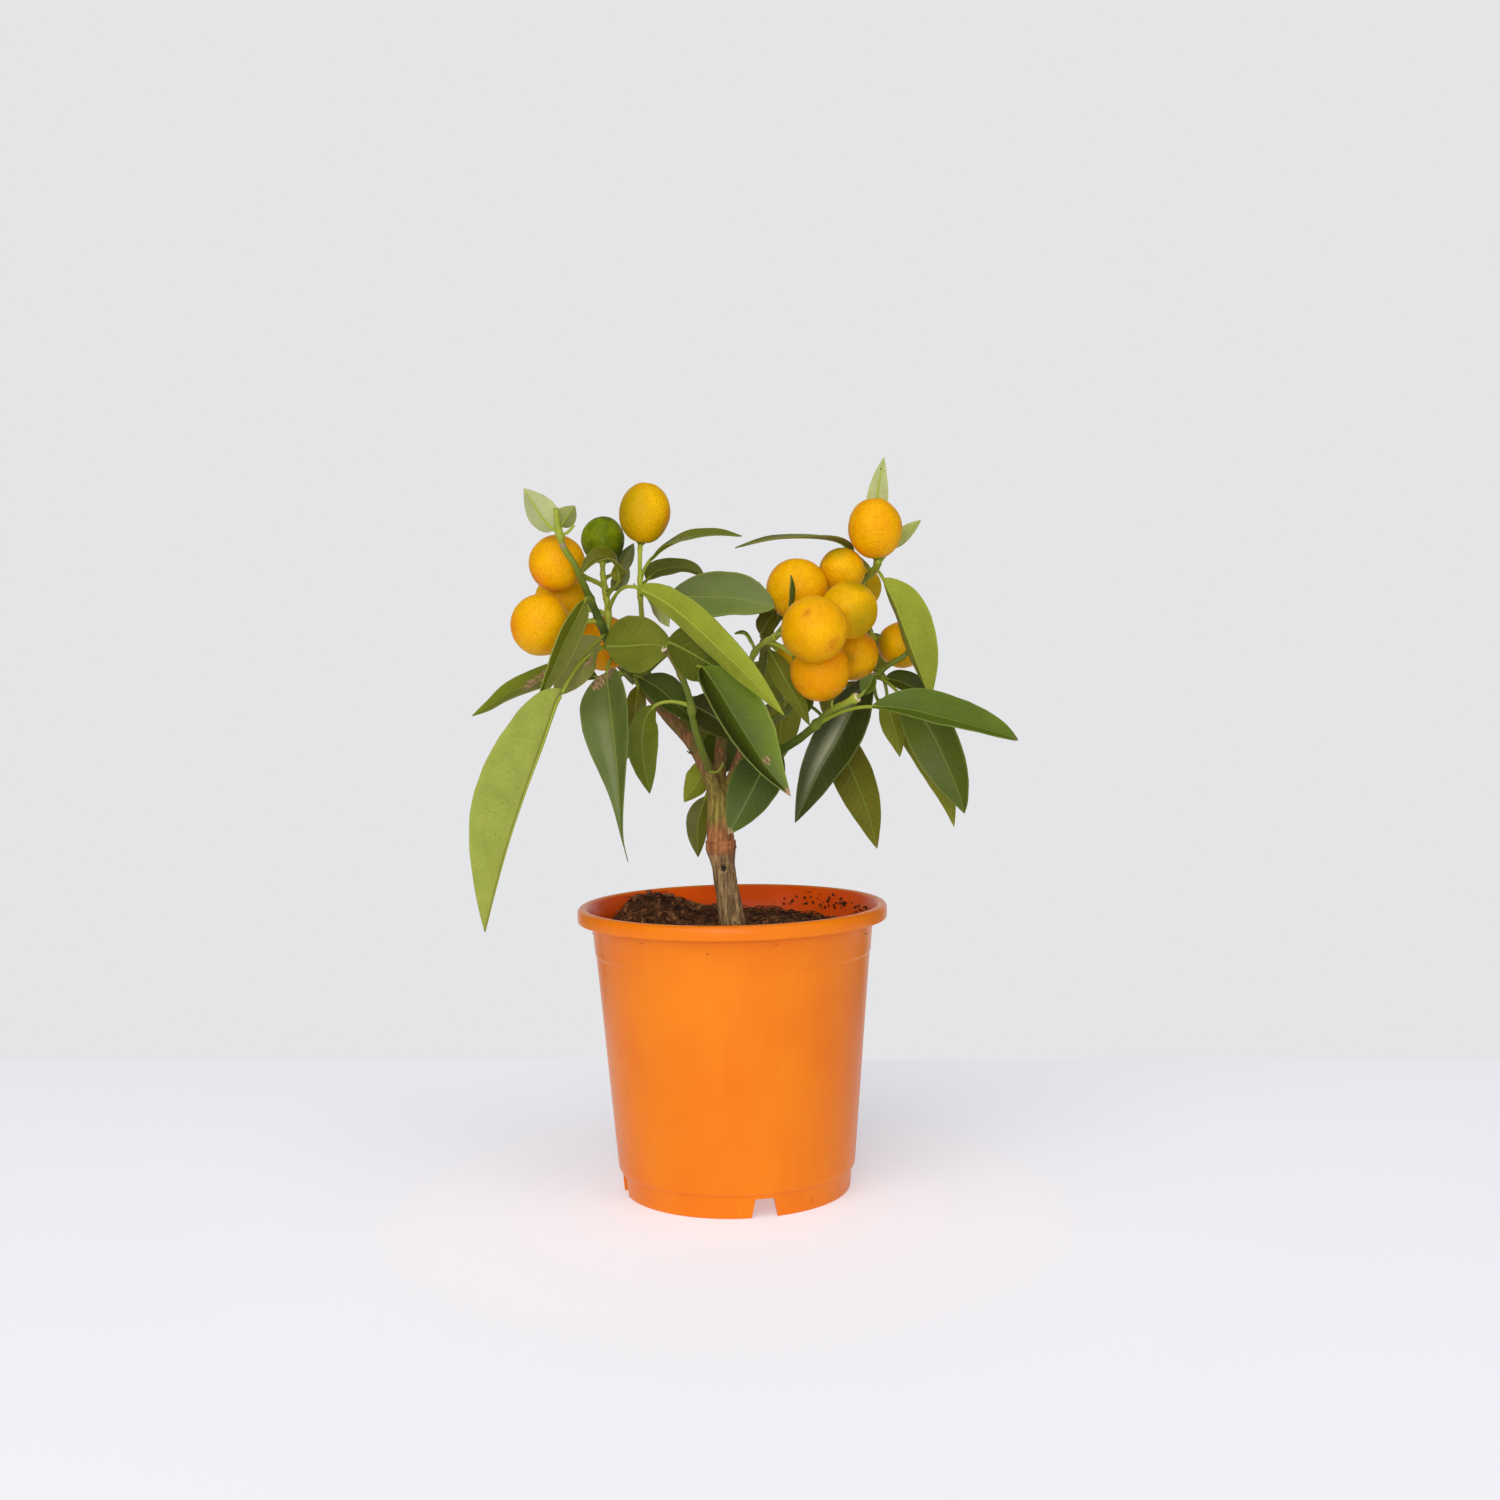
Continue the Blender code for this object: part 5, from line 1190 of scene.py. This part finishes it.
def makeSoil():
    s, wall = soilSettings, potSettings["wall"]
    edge = wallRadius(s["level"]) - wall - 0.3
    work = bmesh.new()
    rings = [ringAt(work, 0, soilHeight(0, 0), 1)]
    for ring in range(1, s["rings"] + 1):
        rings.append([])
        for step in range(s["around"]):
            angle = math.tau * step / s["around"]
            reach = edge * ring / s["rings"]
            x, y = reach * math.cos(angle), reach * math.sin(angle)
            high = soilHeight(x, y)
            if ring == s["rings"]:
                reach = wallRadius(high) - wall - 0.4
                x, y = reach * math.cos(angle), reach * math.sin(angle)
            inside = min(1.0, (edge - reach) / 3 + 0.15)
            rugged = noise.fractal(Vector((x, y, 0)) * 0.16, 1.0, 2.0, 4) * s["lump"]
            rugged += noise.fractal(Vector((x, y, 7)) * 0.7, 0.8, 2.0, 3) * 0.5
            heap = 1.2 * math.exp(-((math.hypot(x - 0.5, y) - 6) / 3) ** 2)  # drawn up round the trunk
            rings[-1].append(work.verts.new((x * mm, y * mm, (high + rugged * inside + heap) * mm)))
    lower = wallRadius(12.0) - wall - 0.9
    rings += [ringAt(work, radius, height, s["around"])
              for radius, height in ((lower, s["bed"] + 2.2), (lower - 1.5, s["bed"]), (0, s["bed"]))]
    stitch(work, rings, flip=True)
    bmesh.ops.recalc_face_normals(work, faces=work.faces)
    soil = finishMesh(work, "soil_body", [peat])
    keep(soil, "soil", "soil")
    # only the open top carries crumbs
    top = bmesh.new()
    top.from_mesh(soil.data)
    low, wide = (s["level"] - 6) * mm, (edge - 1.2) * mm
    rest = [vert for vert in top.verts if vert.co.z < low or math.hypot(vert.co.x, vert.co.y) > wide]
    bmesh.ops.delete(top, geom=rest, context="VERTS")
    bed = finishMesh(top, "soilTop", [peat])
    strew("soil_crumbs", bed, strewCrumbs, crumbPeat)
    strew("soil_chips", bed, strewCrumbs, coir)
    strew("soil_fibres", bed, strewFibres, coir)
    bpy.data.objects.remove(bed)
    # crumbs stick to the inside of the wall, at the back and the right
    work = bmesh.new()
    for low, high, first, last in ((111.0, 116.0, -20, 75), (112.0, 118.0, 30, 60)):
        rows = []
        for height in (low, (low + high) / 2, high):
            reach = wallRadius(height) - wall - 0.1
            rows.append([work.verts.new((reach * math.cos(a) * mm, reach * math.sin(a) * mm, height * mm))
                         for a in map(math.radians, range(first, last, 3))])
        stitch(work, rows, flip=True, closed=False)
    bed = finishMesh(work, "wallBed", [peat])
    strew("wall_crumbs", bed, strewCrumbs, crumbPeat)
    bpy.data.objects.remove(bed)


makeSoil()
print("soil made")

# Stage, camera and light
stageSettings = dict(
    lens=43.47, sensor=36.0, pitch=3.082, roll=1.063, cameraAt=(0.008694, -0.7589, 0.22556),
    frameSide=1500, wallLine=1060,  # the floor ends at this pixel line, level in the picture
    floorTint=(0.72, 0.72, 0.735, 1.0), floorGlow=(0.345, 0.35, 0.385, 1.0), wallTint=tint(229, 229, 231),
    wallBack=2.6, airTint=(0.97, 0.98, 1.0, 1.0), airPower=0.17,
    lights={  # place, aim, size across and up, power, tint
        "keyBox": ((-1.2, -2.6, 1.6), (0, 0, 0.15), (3.2, 2.4), 45.0, (1.0, 0.985, 0.96)),
        "fillBox": ((2.2, -2.0, 1.2), (0, 0, 0.15), (1.6, 2.0), 12.0, (1.0, 1.0, 1.0)),
        "topBox": ((0.0, -0.9, 2.4), (0, 0, 0.05), (2.4, 1.8), 20.0, (1.0, 1.0, 1.0)),
        "frontBox": ((-0.1, -3.0, 0.75), (0, 0, 0.2), (1.8, 1.0), 23.0, (1.0, 1.0, 1.0)),
    },
)


def makeCamera():
    s = stageSettings
    data = bpy.data.cameras.new("camera")
    data.lens, data.sensor_width, data.clip_start = s["lens"], s["sensor"], 0.05
    camera = bpy.data.objects.new("camera", data)
    pitched = Matrix.Rotation(math.radians(90 - s["pitch"]), 4, "X")
    rolled = Matrix.Rotation(math.radians(-s["roll"]), 4, "Z")
    camera.matrix_world = Matrix.Translation(s["cameraAt"]) @ pitched @ rolled
    bpy.context.scene.collection.objects.link(camera)
    bpy.context.scene.camera = camera
    return camera


def onFloor(camera, column, row):
    # the floor point that shows at this pixel
    s = stageSettings
    side = s["sensor"] / s["frameSide"]
    ray = Vector(((column - s["frameSide"] / 2) * side, (s["frameSide"] / 2 - row) * side, -s["lens"]))
    ray = camera.matrix_world.to_3x3() @ ray
    start = camera.matrix_world.translation
    return start - ray * (start.z / ray.z)


def addPaper(name, corners, rough, specular, colour, glow):
    # a flat sheet that also gives off light of its own, so that it looks evenly lit
    work = bmesh.new()
    work.faces.new([work.verts.new(corner) for corner in corners])
    paper = Finish(name + "Paper", specular)
    feed(paper.shader, {"Base Color": colour, "Roughness": rough, "Emission Color": glow,
                        "Emission Strength": 1.0})
    return finishMesh(work, name, [paper.material])


def makeStage(camera):
    s = stageSettings
    left, right = (onFloor(camera, column, s["wallLine"]) for column in (0, s["frameSide"]))
    run = (right - left) * 1.5
    corners = (Vector((-2.4, -3.0, 0)), Vector((2.4, -3.0, 0)), right + run, left - run)
    floor = addPaper("floor", corners, 0.85, 0.5, s["floorTint"], s["floorGlow"])
    corners = [(x, s["wallBack"], z) for x, z in ((-1.6, -1.5), (1.6, -1.5), (1.6, 1.7), (-1.6, 1.7))]
    wall = addPaper("wall", corners, 1.0, 0.0, (0, 0, 0, 1), s["wallTint"])


def makeLights():
    s = stageSettings
    for name, (place, aim, size, power, colour) in s["lights"].items():
        data = bpy.data.lights.new(name, "AREA")
        data.shape, data.energy, data.color = "RECTANGLE", power, colour
        data.size, data.size_y = size
        light = bpy.data.objects.new(name, data)
        light.location = place
        light.rotation_euler = (Vector(aim) - Vector(place)).to_track_quat("-Z", "Y").to_euler()
        bpy.context.scene.collection.objects.link(light)
    world = bpy.data.worlds.new("studioAir")
    world.use_nodes = True
    feed(world.node_tree.nodes["Background"], {0: s["airTint"], 1: s["airPower"]})
    bpy.context.scene.world = world


makeStage(makeCamera())
makeLights()

print("all made")
